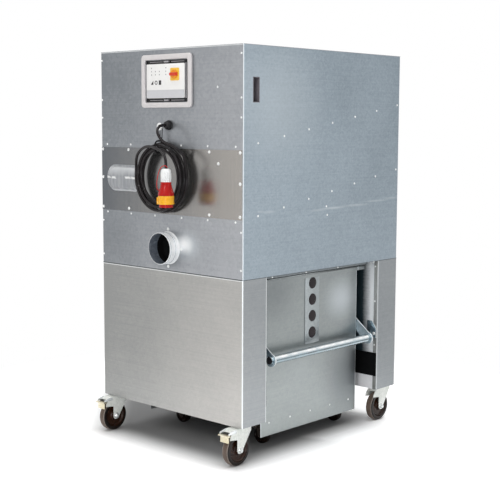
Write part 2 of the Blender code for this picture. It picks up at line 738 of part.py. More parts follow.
def window(mat, parent):
    """Clear obround pane: a flange on the cover and a dome that stands out of it."""
    bm = bmesh.new()
    back = COVER_FACE - GAP
    levels = (
        (0, 0), (0, WINDOW_FLANGE), (WINDOW_RIM, WINDOW_FLANGE),
        (WINDOW_RIM + WINDOW_WALL, WINDOW_RISE * 2 / 3), (WINDOW_HEIGHT / 4, WINDOW_RISE),
        (WINDOW_HEIGHT / 4 + WINDOW_WALL, WINDOW_RISE - WINDOW_WALL),
        (WINDOW_RIM + 2 * WINDOW_WALL, WINDOW_RISE * 2 / 3 - WINDOW_WALL),
        (WINDOW_RIM + WINDOW_WALL, 0),
    )
    rings = []
    for inset, rise in levels:
        outline = obround(WINDOW_X, WINDOW_Z, WINDOW_LENGTH - 2 * inset, WINDOW_HEIGHT - 2 * inset, 6)
        rings.append([bm.verts.new((x, back - rise, z)) for x, z in outline])
    dome = len(levels) // 2
    for first, second in zip(rings[:dome], rings[1:dome + 1]):
        bridge(bm, first, second)
    bm.faces.new(rings[dome])
    bm.faces.new(rings[dome + 1])
    for first, second in zip(rings[dome + 1:], rings[dome + 2:]):
        bridge(bm, first, second)
    bridge(bm, rings[-1], rings[0])
    body("inspection_window", bm, mat, parent, smooth=True)


def bridge(bm, first, second):
    count = len(first)
    for i in range(count):
        j = (i + 1) % count
        bm.faces.new((first[i], first[j], second[j], second[i]))


def inlet_spigot(mat, parent):
    """Hose spigot with a bead near its mouth and a collar behind the front panel."""
    inner = INLET_R - INLET_WALL
    collar_front = INLET_REACH + SHEET + GAP
    bead = INLET_REACH / 8
    tail = INLET_REACH + INLET_TAIL
    profile = [
        (inner, 0), (INLET_R, 0), (INLET_R, bead), (INLET_R + INLET_BEAD, bead + INLET_BEAD),
        (INLET_R, bead + 2 * INLET_BEAD), (INLET_R, collar_front),
        (INLET_R + INLET_COLLAR, collar_front), (INLET_R + INLET_COLLAR, collar_front + SHEET),
        (INLET_R, collar_front + SHEET), (INLET_R, tail), (inner, tail),
    ]
    turned("inlet_spigot", profile, ROUND_STEPS, mat, parent, "Y",
           (0, FRONT - INLET_REACH, INLET_Z), ring=True)


def rear_panel(mat, parent):
    """Rear sheet with two columns of louvres pressed outwards for the clean air."""
    edge = SIDE - BEND
    skin = -FRONT
    obj = prism("rear_panel", rect(-edge, UPPER_FOOT, edge, UPPER_TOP), "Y",
                skin - SHEET, skin, mat, parent)

    def hoods(bm, shrink, back, mouth):
        for column in (-LOUVRE_OFFSET, LOUVRE_OFFSET):
            for row in range(LOUVRE_ROWS):
                low = LOUVRE_LOW + row * LOUVRE_PITCH
                outline = [(back, low + mouth), (skin + LOUVRE_RISE - shrink, low + mouth),
                           (skin + LOUVRE_RISE - shrink, low + shrink + LOUVRE_WALL),
                           (skin, low + LOUVRE_TALL - shrink), (back, low + LOUVRE_TALL - shrink)]
                half = LOUVRE_LENGTH / 2 - shrink
                add_prism(bm, outline, "X", column - half, column + half)

    weld(obj, "hoods", lambda bm: hoods(bm, 0, skin - SINK, 0))
    cut(obj, "hood_hollows", lambda bm: hoods(bm, LOUVRE_WALL, skin - SHEET - OVERRUN, -OVERRUN / 2))


def roof_panel(mat, parent):
    obj = prism("roof_panel", rect(-SIDE, FRONT, SIDE, -FRONT), "Z", HEIGHT - SHEET, HEIGHT,
                mat, parent)
    lip_x, lip_y = SIDE - ROOF_LIP_INSET, BEHIND_FLANGE
    weld(obj, "lip", lambda bm: add_prism(
        bm, rect(-lip_x, -lip_y, lip_x, lip_y), "Z", HEIGHT - ROOF_LIP, HEIGHT - SHEET + SINK))
    cut(obj, "lip_hollow", lambda bm: add_prism(
        bm, rect(-lip_x + SHEET, -lip_y + SHEET, lip_x - SHEET, lip_y - SHEET), "Z",
        HEIGHT - ROOF_LIP - OVERRUN, HEIGHT - SHEET))


# Filter and fan

def filter_decks(mat, parent):
    reach = INNER_FRONT - CORNER_CLEAR - SHEET
    low = tray("filter_deck_lower", (-INNER_SIDE, -reach, LOWER_DECK - DECK_LIP),
               (INNER_SIDE, reach, LOWER_DECK), [(0, 0, -1)], SHEET, mat, parent, DECK_SLOPE)
    cut(low, "air_way", lambda bm: add_prism(
        bm, rect(-AIR_WAY_X, -AIR_WAY_Y, AIR_WAY_X, AIR_WAY_Y), "Z",
        LOWER_DECK - DEPTH * DECK_SLOPE, LOWER_DECK + DEPTH * DECK_SLOPE))
    high = tray("filter_deck_upper", (-INNER_SIDE, -reach, UPPER_DECK),
                (INNER_SIDE, reach, UPPER_DECK + DECK_LIP), [(0, 0, 1)], SHEET, mat, parent, DECK_SLOPE)
    eye = Matrix.Translation((0, FAN_Y, FAN_Z)) @ Matrix.Rotation(FAN_TILT, 4, "X")

    def eye_cutter(bm):
        add_prism(bm, circle(0, 0, EYE_R, ROUND_STEPS), "Z", -4 * OVERRUN, 4 * OVERRUN)
        bmesh.ops.transform(bm, matrix=eye, verts=list(bm.verts))

    cut(high, "fan_eye", eye_cutter)


def filter_cassette(mat, parent):
    """Pleated filter: an open rim with one folded sheet of filter paper across it."""
    low, high = LOWER_DECK + GAP, UPPER_DECK - GAP
    inside = (CASSETTE_X - CASSETTE_RIM, CASSETTE_FRONT + CASSETTE_RIM, CASSETTE_BACK - CASSETTE_RIM)
    bm = bmesh.new()
    add_prism(bm, rect(-CASSETTE_X, CASSETTE_FRONT, CASSETTE_X, CASSETTE_BACK), "Z", low, high)
    slope(bm, DECK_SLOPE)
    obj = body("filter_cassette", bm, mat, parent)

    def hollow(bm):
        add_prism(bm, rect(-inside[0], inside[1], inside[0], inside[2]), "Z",
                  low - OVERRUN, high + OVERRUN)
        slope(bm, DECK_SLOPE)

    def paper(bm):
        folds = 2 * PLEATS
        start, end = inside[1] - SINK, inside[2] + SINK
        places = [start + (end - start) * i / folds for i in range(folds + 1)]
        slant = PLEAT_PAPER * sqrt(1 + ((high - low) * folds / (end - start)) ** 2)
        crest, valley = high - PLEAT_EDGE, low + PLEAT_EDGE + slant
        top = [(y, crest if i % 2 else valley) for i, y in enumerate(places)]
        below = [(y, z - slant) for y, z in reversed(top)]
        add_prism(bm, top + below, "X", -inside[0] - SINK, inside[0] + SINK)
        slope(bm, DECK_SLOPE)

    cut(obj, "hollow", hollow)
    weld(obj, "paper", paper)


def fan_unit(mats, parent):
    """Free-running impeller over the deck's eye, hung from a motor on a stand."""
    mount = empty("fan_mount", (0, FAN_Y, FAN_Z), FAN_TILT, parent)
    plate_low = STAND_HIGH
    plate_high = STAND_HIGH + STAND_PLATE
    half = STAND_SIZE / 2
    stand = prism("motor_stand", rounded(-half, -half, half, half, PANEL_CORNER), "Z",
                  plate_low, plate_high, mats["zinc"], mount)

    def legs(bm):
        for sx in (-1, 1):
            for sy in (-1, 1):
                x0, x1 = sorted((sx * (half - SHEET), sx * (half - SHEET - STAND_LEG)))
                y0, y1 = sorted((sy * (half - SHEET), sy * (half - SHEET - STAND_LEG)))
                add_prism(bm, rect(x0, y0, x1, y1), "Z", GAP, plate_low + SINK)

    weld(stand, "legs", legs)
    cut(stand, "shaft_hole", lambda bm: add_prism(
        bm, circle(0, 0, HUB_R + OVERRUN, SMALL_STEPS), "Z", plate_low - OVERRUN, plate_high + OVERRUN))
    motor(mats["motor"], mount, plate_high + GAP)
    impeller(mats["zinc"], mount, plate_high + GAP)


def motor(mat, mount, foot):
    body_low = foot + MOTOR_FLANGE_T
    body_high = foot + MOTOR_LENGTH - MOTOR_CAP
    outline = []
    for fin in range(MOTOR_FINS):
        for share, radius in ((0, MOTOR_R), (0.5, MOTOR_R), (0.5, FIN_R), (0.8, FIN_R), (0.8, MOTOR_R)):
            angle = 2 * pi * (fin + share) / MOTOR_FINS
            outline.append((radius * cos(angle), radius * sin(angle)))
    obj = prism("motor", outline, "Z", body_low - SINK, body_high + SINK, mat, mount)
    ends = [(0, foot), (MOTOR_FLANGE_R, foot), (MOTOR_FLANGE_R, body_low), (MOTOR_R - SINK, body_low),
            (MOTOR_R - SINK, body_high), (FIN_R, body_high), (FIN_R, body_high + MOTOR_CAP / 2),
            (MOTOR_R - FIN_RISE, body_high + MOTOR_CAP), (0, body_high + MOTOR_CAP)]
    weld(obj, "end_shields", lambda bm: add_turned(bm, ends, ROUND_STEPS))
    box_x, box_y, box_z = MOTOR_BOX
    middle = (body_low + body_high) / 2
    weld(obj, "terminal_box", lambda bm: add_prism(
        bm, rounded(-box_x / 2, MOTOR_R - FIN_RISE, box_x / 2, MOTOR_R + box_y, OVERRUN), "Z",
        middle - box_z / 2, middle + box_z / 2))
    cut(obj, "shaft_bore", lambda bm: add_prism(
        bm, circle(0, 0, SHAFT_R + GAP, ROUND_STEPS), "Z", foot - OVERRUN, foot + SHAFT_IN_MOTOR + GAP))


def impeller(mat, mount, motor_foot):
    """Backward-curved impeller with a conical shroud, welded to its hub and shaft."""
    eye = EYE_R - EYE_RUN
    shroud_low = IMPELLER_LOW
    disc_low = IMPELLER_LOW + BLADE_HIGH
    profile = [(0, disc_low - OVERRUN), (HUB_R, disc_low - OVERRUN), (HUB_R, disc_low),
               (IMPELLER_R, disc_low), (IMPELLER_R, disc_low + DISC_T), (HUB_R, disc_low + DISC_T),
               (HUB_R, disc_low + DISC_T + OVERRUN), (SHAFT_R, disc_low + DISC_T + OVERRUN),
               (SHAFT_R, motor_foot + SHAFT_IN_MOTOR), (0, motor_foot + SHAFT_IN_MOTOR)]
    obj = turned("impeller", profile, ROUND_STEPS, mat, mount)
    neck = shroud_low - SHROUD_RISE
    shroud = [(eye - DISC_T, neck), (eye, neck), (eye, shroud_low), (IMPELLER_R, shroud_low + SHROUD_RISE),
              (IMPELLER_R, shroud_low + SHROUD_RISE + DISC_T), (eye - DISC_T, shroud_low + DISC_T)]

    def blades(bm):
        add_turned(bm, shroud, ROUND_STEPS, ring=True)

    def vanes(bm):
        steps = 4
        for blade in range(BLADES):
            line = []
            for i in range(steps + 1):
                share = i / steps
                radius = BLADE_ROOT_R + (IMPELLER_R - SINK - BLADE_ROOT_R) * share
                angle = 2 * pi * blade / BLADES - BLADE_SWEEP * share ** 0.8
                line.append((radius, angle))
            half_turn = [BLADE_T / 2 / radius for radius, _ in line]
            front = [(r * cos(a + h), r * sin(a + h)) for (r, a), h in zip(line, half_turn)]
            back = [(r * cos(a - h), r * sin(a - h)) for (r, a), h in zip(line, half_turn)]
            add_prism(bm, front + back[::-1], "Z", shroud_low + DISC_T / 2, disc_low + SINK)

    def outside(bm):
        reach = IMPELLER_R + OVERRUN
        rise = SHROUD_RISE * (reach - eye) / (IMPELLER_R - eye)
        add_turned(bm, [(0, neck - OVERRUN), (eye + SINK, neck - OVERRUN),
                        (eye + SINK, shroud_low + DISC_T / 2), (reach, shroud_low + rise + DISC_T / 2),
                        (reach, motor_foot + SHAFT_IN_MOTOR + OVERRUN),
                        (0, motor_foot + SHAFT_IN_MOTOR + OVERRUN)], ROUND_STEPS)

    weld(obj, "vanes", vanes)
    keep_inside(obj, "trim", outside)
    weld(obj, "shroud", blades)


# Controls

def controls(mats, parent):
    half_x, half_z = PANEL_FRAME_X / 2, PANEL_FRAME_Z / 2
    frame_back = FRONT - GAP
    outline = rounded(-half_x, PANEL_Z - half_z, half_x, PANEL_Z + half_z, PANEL_CORNER)
    frame = prism("control_frame", outline, "Y", frame_back - PANEL_FRAME_RISE, frame_back,
                  mats["light"], parent)
    in_x, in_z = half_x - PANEL_FRAME_BAR, half_z - PANEL_FRAME_BAR
    cut(frame, "opening", lambda bm: add_prism(
        bm, rounded(-in_x, PANEL_Z - in_z, in_x, PANEL_Z + in_z, PANEL_CORNER / 2), "Y",
        frame_back - PANEL_FRAME_RISE - OVERRUN, frame_back + OVERRUN))

    open_x, open_z = control_opening()
    box_x, box_z = open_x - GAP, open_z - GAP
    box_face = FRONT - CONTROL_LIP / 2
    box = prism("control_box", rect(-box_x, PANEL_Z - box_z, box_x, PANEL_Z + box_z), "Y",
                box_face, box_face + CONTROL_DEPTH, mats["black"], parent)
    stage_x = CONTROL_FACE_X / 2 - CONTROL_UNDERCUT
    stage_z = CONTROL_FACE_Z / 2 - CONTROL_UNDERCUT
    stage_face = FRONT - CONTROL_RISE
    weld(box, "stage", lambda bm: add_prism(
        bm, rounded(-stage_x, PANEL_Z - stage_z, stage_x, PANEL_Z + stage_z, CONTROL_UNDERCUT), "Y",
        stage_face, box_face + SINK))
    face_back = stage_face - GAP
    face_front = face_back - CONTROL_FACE_T
    face_x, face_z = CONTROL_FACE_X / 2, CONTROL_FACE_Z / 2
    prism("control_face", rounded(-face_x, PANEL_Z - face_z, face_x, PANEL_Z + face_z, CONTROL_UNDERCUT),
          "Y", face_front, face_back, mats["white"], parent)

    plate_back = face_front - GAP
    plate_front = plate_back - SWITCH_PLATE_T
    half = SWITCH_SIZE / 2
    outline = rounded(SWITCH_X - half, SWITCH_Z - half, SWITCH_X + half, SWITCH_Z + half, CONTROL_UNDERCUT)
    plate = prism("switch_plate", outline, "Y", plate_front, plate_back, mats["yellow"], parent)
    cut(plate, "spindle_hole", lambda bm: add_prism(
        bm, circle(SWITCH_X, SWITCH_Z, KNOB_SPINDLE_R + GAP, SMALL_STEPS), "Y",
        plate_front - OVERRUN, plate_back + OVERRUN))

    knob_back = plate_front - GAP
    knob = turned("main_switch", [(0, knob_back - plate_back), (KNOB_SPINDLE_R, knob_back - plate_back),
                                  (KNOB_SPINDLE_R, 0), (KNOB_R, 0), (KNOB_R, KNOB_T * 2 / 3),
                                  (KNOB_R - KNOB_T / 3, KNOB_T), (0, KNOB_T)],
                  ROUND_STEPS, mats["red"], parent, "-Y", (SWITCH_X, knob_back, SWITCH_Z),
                  origin=(SWITCH_X, knob_back, SWITCH_Z))
    grip_x, grip_z, grip_y = KNOB_GRIP
    weld(knob, "bar", lambda bm: add_prism(
        bm, rounded(SWITCH_X - grip_x / 2, SWITCH_Z - grip_z / 2, SWITCH_X + grip_x / 2,
                    SWITCH_Z + grip_z / 2, GRIP_WALL), "Y", knob_back - grip_y, knob_back - KNOB_T / 2))


# Cord, gland and plug

def outwards(point):
    """Turns x, distance out from the front panel and z into a point."""
    x, out, z = point
    return Vector((x, FRONT - out, z))


def coil_route():
    """Middle line of the coil: a layer spiralling in, half a turn that climbs, a layer spiralling out."""
    turns = COIL_TURNS_IN + COIL_TURNS_CLIMB + COIL_TURNS_OUT
    count = round(turns * LOOP_POINTS)
    points = []
    for i in range(count + 1):
        turn = turns * i / count
        wound_in = min(turn, COIL_TURNS_IN)
        climb = min(max(turn - COIL_TURNS_IN, 0), COIL_TURNS_CLIMB) / COIL_TURNS_CLIMB
        wound_out = max(turn - COIL_TURNS_IN - COIL_TURNS_CLIMB, 0)
        radius = COIL_R - COIL_STEP * (wound_in - wound_out)
        out = COIL_BACK + (COIL_FRONT - COIL_BACK) * (1 - cos(pi * climb)) / 2
        angle = COIL_START - 2 * pi * turn
        height = COIL_Z + COIL_TALL_SHARE * radius * sin(angle)
        points.append(outwards((COIL_X + radius * cos(angle), out, height)))
    first = points[0] + (points[0] - points[1]).normalized() * CORD_D
    last = points[-1] + (points[-1] - points[-2]).normalized() * CORD_D
    return [first] + points + [last]


def least_gap(points, diameter):
    """Least air gap between stretches of a tube that lie more than three diameters apart along it."""
    along = [0.0]
    for a, b in zip(points, points[1:]):
        along.append(along[-1] + (b - a).length)
    gap = min((a - b).length - diameter
              for i, a in enumerate(points) for j, b in enumerate(points)
              if along[j] - along[i] > 3 * diameter)
    return gap, along[-1]


def smooth_route(points, step):
    """Points about one step apart on a smooth curve through the given points."""
    padded = [2 * points[0] - points[1]] + list(points) + [2 * points[-1] - points[-2]]
    fine = []
    for a, b, c, d in zip(padded, padded[1:], padded[2:], padded[3:]):
        for i in range(8):
            t = i / 8
            fine.append(0.5 * (2 * b + (c - a) * t + (2 * a - 5 * b + 4 * c - d) * t ** 2
                               + (3 * b - a - 3 * c + d) * t ** 3))
    fine.append(points[-1])
    total = sum((b - a).length for a, b in zip(fine, fine[1:]))
    count = max(2, round(total / step))
    route, walked, target = [fine[0]], 0.0, total / count
    for a, b in zip(fine, fine[1:]):
        length = (b - a).length
        while walked + length >= target and len(route) < count:
            route.append(a.lerp(b, (target - walked) / length))
            target += total / count
        walked += length
    route.append(fine[-1])
    return route


def tube(name, points, diameter, resolution, mat, parent):
    curve = bpy.data.curves.new(name, "CURVE")
    curve.dimensions = "3D"
    curve.bevel_depth = diameter / 2
    curve.bevel_resolution = resolution
    curve.use_fill_caps = True
    spline = curve.splines.new("POLY")
    spline.points.add(len(points) - 1)
    for place, point in zip(spline.points, points):
        place.co = (*point, 1)
    curve.materials.append(mat)
    obj = bpy.data.objects.new(name, curve)
    bpy.context.scene.collection.objects.link(obj)
    obj.parent = parent


def cord_group(mats, parent):
    gland_face = GAP
    turned("cord_gland", [(0, 0), (GLAND_R, 0), (GLAND_R, GLAND_FLAT),
                          (GLAND_R * 0.85, GLAND_FLAT * 1.3), (GLAND_R * 0.85, GLAND_REACH * 0.75),
                          (GLAND_NOSE_R, GLAND_REACH), (0, GLAND_REACH)],
           SMALL_STEPS, mats["black"], parent, "-Y", (GLAND_X, FRONT - gland_face, GLAND_Z))
    turned("cord_hook", [(0, 0), (HOOK_FOOT_R, 0), (HOOK_FOOT_R, HOOK_FOOT_T), (HOOK_ROD_R, HOOK_FOOT_T),
                         (HOOK_ROD_R, HOOK_REACH - HOOK_CAP_T), (HOOK_CAP_R, HOOK_REACH - HOOK_CAP_T),
                         (HOOK_CAP_R, HOOK_REACH - HOOK_CAP_T / 3), (HOOK_CAP_R * 0.85, HOOK_REACH),
                         (0, HOOK_REACH)],
           SMALL_STEPS, mats["white"], parent, "-Y", (HOOK_X, FRONT - GAP, HOOK_Z))

    coil = coil_route()
    gap, length = least_gap(coil, CORD_D)
    print("coil: least gap to itself %.2f mm, length %.2f m" % (gap * 1000, length))
    tube("cord_coil", coil, CORD_D, 1, mats["cord"], parent)

    nose = outwards((GLAND_X, GAP + GLAND_REACH + GAP, GLAND_Z))
    lead = stretch(nose, Vector((0, -1, 0)), LEAD_ROUTE, coil[0], coil[0] - coil[1])
    tube("cord_lead", lead, CORD_D, 2, mats["cord"], parent)
    clamp = outwards((PLUG_X, PLUG_OUT, PLUG_TOP + GAP))
    tail = stretch(clamp, Vector((0, 0, 1)), TAIL_ROUTE, coil[-1], coil[-1] - coil[-2])
    tube("cord_tail", tail, CORD_D, 2, mats["cord"], parent)
    plug(mats, parent)


def stretch(start, way, route, coil_end, coil_way):
    """A free stretch that leaves its start and meets the coil's end straight for one diameter."""
    away = coil_way.normalized()
    meet = coil_end + away * GAP
    free = [outwards((x, out, GLAND_Z + drop)) for x, out, drop in route]
    middle = [start + way * CORD_D] + free + [meet + away * CORD_D]
    return [start] + smooth_route(middle, TUBE_STEP) + [meet]


def plug(mats, parent):
    """Industrial plug hanging with its mouth down: clamp nut, flared body, collar ring and pins."""
    at = outwards((PLUG_X, PLUG_OUT, PLUG_TOP))
    turned("plug_nut", [(0, 0), (NUT_R * 0.55, 0), (NUT_R * 0.9, NUT_LENGTH * 0.14),
                        (NUT_R, NUT_LENGTH * 0.3), (NUT_R, NUT_LENGTH), (0, NUT_LENGTH)],
           16, mats["white"], parent, "-Z", tuple(at))
    top = NUT_LENGTH + GAP
    neck = NUT_LENGTH + PLUG_BODY_LENGTH
    end = neck + PLUG_RING_LENGTH + PLUG_TIP_LENGTH
    cup = end - PLUG_CUP_DEPTH
    profile = [(0, top), (PLUG_BODY_TOP_R, top), (PLUG_BODY_TOP_R * 1.08, top + PLUG_BODY_LENGTH * 0.35),
               (PLUG_BODY_R * 0.93, top + PLUG_BODY_LENGTH * 0.72), (PLUG_BODY_R, neck - OVERRUN * 2),
               (PLUG_BODY_R, neck - GAP), (PLUG_NECK_R, neck - GAP), (PLUG_NECK_R, end),
               (PLUG_CUP_R, end), (PLUG_CUP_R, cup), (0, cup)]
    obj = turned("plug_body", profile, 20, mats["red"], parent, "-Z", tuple(at))

    def pins(bm):
        for pin in range(PLUG_PINS):
            angle = 2 * pi * pin / PLUG_PINS + pi / 2
            x = at.x + PIN_CIRCLE * cos(angle)
            y = at.y + PIN_CIRCLE * sin(angle)
            add_prism(bm, circle(x, y, PIN_R, 8), "Z", at.z - end + PIN_SHORT, at.z - cup + SINK)

    weld(obj, "pins", pins)
    ring_in = PLUG_NECK_R + GAP
    ring_end = neck + PLUG_RING_LENGTH
    ring = turned("plug_ring", [(ring_in, neck), (PLUG_RING_R, neck), (PLUG_RING_R, ring_end),
                                (ring_in, ring_end)],
                  20, mats["yellow"], parent, "-Z", tuple(at), ring=True)
    tab_x, tab_y, tab_z = RING_TAB
    weld(ring, "tab", lambda bm: add_prism(
        bm, rect(at.x - PLUG_RING_R - tab_x / 2, at.y - tab_y / 2,
                 at.x - PLUG_RING_R + SINK * 2, at.y + tab_y / 2), "Z",
        at.z - ring_end + SINK, at.z - ring_end + tab_z))


# Dust bin, bail and dolly

def bin_parts(mats, parent):
    """Bin of folded sheet: walls with a skirt, floor, rolled rim and the studs that carry the bail."""
    obj = prism("dust_bin", rect(BIN_REAR, -BIN_HALF, BIN_FRONT, BIN_HALF), "Z", BIN_FOOT, BIN_TOP,
                mats["bin_sheet"], parent)
    rim = rect(RIM_REAR, -RIM_HALF, RIM_FRONT, RIM_HALF)
    weld(obj, "rim", lambda bm: add_prism(bm, rim, "Z", BIN_TOP - RIM_TALL, BIN_TOP))

    def rim_hollow(bm):
        wall = BIN_SHEET
        outer = rect(RIM_REAR + wall, -RIM_HALF + wall, RIM_FRONT - wall, RIM_HALF - wall)
        add_prism(bm, outer, "Z", BIN_TOP - RIM_TALL - OVERRUN, BIN_TOP - wall)

    def rim_core(bm):
        add_prism(bm, rect(BIN_REAR, -BIN_HALF, BIN_FRONT, BIN_HALF), "Z",
                  BIN_TOP - RIM_TALL - 2 * OVERRUN, BIN_TOP - BIN_SHEET / 2)

    inner = rect(BIN_REAR + BIN_SHEET, -BIN_HALF + BIN_SHEET, BIN_FRONT - BIN_SHEET, BIN_HALF - BIN_SHEET)
    cut(obj, "rim_hollow", rim_hollow)
    weld(obj, "rim_core", rim_core)
    cut(obj, "inside", lambda bm: add_prism(bm, inner, "Z", BIN_FLOOR + BIN_SHEET, BIN_TOP + OVERRUN))
    between = rect(BIN_REAR + BIN_SHEET, -BIN_HALF - OVERRUN, BIN_FRONT - BIN_SHEET, BIN_HALF + OVERRUN)
    cut(obj, "under_floor", lambda bm: add_prism(bm, between, "Z", BIN_FOOT - OVERRUN, BIN_FLOOR))

    def studs(bm):
        outer = ARM_Y + ARM_T + STUD_TAIL
        for way in (-1, 1):
            low, high = sorted((way * (BIN_HALF - BIN_SHEET / 2), way * outer))
            add_prism(bm, circle(BAIL_X, BAIL_Z, STUD_R, SMALL_STEPS), "Y", low, high)

    weld(obj, "studs", studs)
    sight_strip(mats["strip"], parent)


def sight_strip(mat, parent):
    back = BIN_FRONT + GAP
    half = SIGHT_WIDTH / 2
    strip = prism("sight_strip", rounded(SIGHT_Y - half, SIGHT_LOW, SIGHT_Y + half, SIGHT_HIGH, OVERRUN), "X",
                  back, back + SIGHT_T, mat, parent)

    def windows(bm):
        for i in range(SIGHT_HOLES):
            add_prism(bm, circle(SIGHT_Y, SIGHT_LOW + SIGHT_MARGIN + i * SIGHT_PITCH, SIGHT_R, 16), "X",
                      back + SIGHT_T - SIGHT_DEEP, back + SIGHT_T + OVERRUN)

    cut(strip, "windows", windows)


def cam_outline():
    """Bail arm in the XZ plane about its pivot: a cam for a flat rail, the arm and its round end.

    The cam's reach below the pivot shrinks evenly with the swing, so its skin is an involute.
    """
    points = []
    steps = 6
    for i in range(steps + 1):
        swing = BAIL_SWING * (1 - i / steps)
        angle = -pi / 2 - swing
        reach = CAM_H - LIFT_RATE * swing
        points.append((reach * cos(angle) - LIFT_RATE * sin(angle),
                       reach * sin(angle) + LIFT_RATE * cos(angle)))
    along = Vector((cos(BAIL_REST), sin(BAIL_REST)))
    side = Vector((sin(BAIL_REST), -cos(BAIL_REST)))
    points.append(tuple(along * (CAM_H * 1.06) + side * ARM_HALF))
    end = along * BAIL_LENGTH
    spread = pi / 2 - 0.55
    points += arc(end.x, end.y, ARM_END_R, BAIL_REST - pi / 2 - spread / 2,
                  BAIL_REST + pi / 2 + spread / 2, 10)
    points.append(tuple(along * CAM_H - side * ARM_HALF))
    points += arc(0, 0, CAM_H - LIFT, BAIL_REST + pi / 2 + 0.3, -pi / 2 - BAIL_SWING - 0.25 + 2 * pi, 5)
    return points


def bail(mats, parent):
    pivot = (BAIL_X, 0, BAIL_Z)
    tube_x = BAIL_X + BAIL_LENGTH * cos(BAIL_REST)
    tube_z = BAIL_Z + BAIL_LENGTH * sin(BAIL_REST)
    inner = BAIL_TUBE_R - BAIL_TUBE_WALL
    turned("bail_tube", [(inner, -BAIL_TUBE_HALF), (BAIL_TUBE_R, -BAIL_TUBE_HALF),
                         (BAIL_TUBE_R, BAIL_TUBE_HALF), (inner, BAIL_TUBE_HALF)],
           ROUND_STEPS, mats["zinc"], parent, "Y", (tube_x, 0, tube_z), origin=pivot, ring=True)
    outline = [(BAIL_X + x, BAIL_Z + z) for x, z in cam_outline()]
    for name, way in (("bail_arm_front", -1), ("bail_arm_rear", 1)):
        near, far = sorted((way * ARM_Y, way * (ARM_Y + ARM_T)))
        arm = prism(name, outline, "Y", near, far, mats["zinc"], parent, origin=pivot)
        cut(arm, "stud_hole", lambda bm, near=near, far=far: add_prism(
            bm, circle(BAIL_X, BAIL_Z, STUD_R + GAP, SMALL_STEPS), "Y", near - OVERRUN, far + OVERRUN))
        cut(arm, "tube_hole", lambda bm, near=near, far=far: add_prism(
            bm, circle(tube_x, tube_z, BAIL_TUBE_R + GAP, ROUND_STEPS), "Y", near - OVERRUN, far + OVERRUN))


def dolly(mats, parent):
    """Low frame under the bin, with four wheels between welded ears."""
    top = DOLLY_TOP
    low = (DOLLY_REAR, -DOLLY_HALF, top - DOLLY_TALL)
    high = (DOLLY_FRONT, DOLLY_HALF, top)
    frame = tray("dolly_frame", low, high, [(0, 0, -1)], DOLLY_SHEET, mats["dark"], parent)
    cut(frame, "middle", lambda bm: add_prism(
        bm, rect(DOLLY_REAR + 2 * DOLLY_BAR, -DOLLY_HALF + 2 * DOLLY_BAR, DOLLY_FRONT - 2 * DOLLY_BAR,
                 DOLLY_HALF - 2 * DOLLY_BAR), "Z", top - DOLLY_SHEET - OVERRUN, top + OVERRUN))
    middle_x = (DOLLY_FRONT + DOLLY_REAR) / 2
    reach_x = (DOLLY_FRONT - DOLLY_REAR) / 2 - DOLLY_WHEEL_INSET
    rows = (DOLLY_ROW_NEAR - DOLLY_HALF, DOLLY_HALF - DOLLY_ROW_FAR)
    places = [(middle_x + sx * reach_x, y) for sx in (1, -1) for y in rows]
    half = DOLLY_WHEEL_T / 2 + GAP
    reach = half + DOLLY_EAR

    def ears(bm):
        for x, y in places:
            outline = arc(x, DOLLY_WHEEL_R, DOLLY_EAR_HALF, pi, 2 * pi, 5)
            outline += [(x + 1.6 * DOLLY_EAR_HALF, top - DOLLY_SHEET / 2),
                        (x - 1.6 * DOLLY_EAR_HALF, top - DOLLY_SHEET / 2)]
            for way in (-1, 1):
                near, far = sorted((y + way * half, y + way * reach))
                add_prism(bm, outline, "Y", near, far)

    def axles(bm):
        for x, y in places:
            add_prism(bm, circle(x, DOLLY_WHEEL_R, DOLLY_AXLE_R, 8), "Y", y - reach - SINK, y + reach + SINK)

    weld(frame, "ears", ears)
    weld(frame, "axles", axles)
    bore = DOLLY_AXLE_R + GAP
    rim = DOLLY_WHEEL_R - OVERRUN
    edge = DOLLY_WHEEL_T / 2
    profile = [(bore, -edge), (rim - OVERRUN, -edge), (DOLLY_WHEEL_R, -edge * 0.6),
               (DOLLY_WHEEL_R, edge * 0.6), (rim - OVERRUN, edge), (bore, edge)]
    for (x, y), name in zip(places, ("out_front", "out_rear", "in_front", "in_rear")):
        turned("dolly_wheel_" + name, profile, 16, mats["rubber"], parent, "Y", (x, y, DOLLY_WHEEL_R),
               origin=(x, y, DOLLY_WHEEL_R), ring=True)


# Machine casters

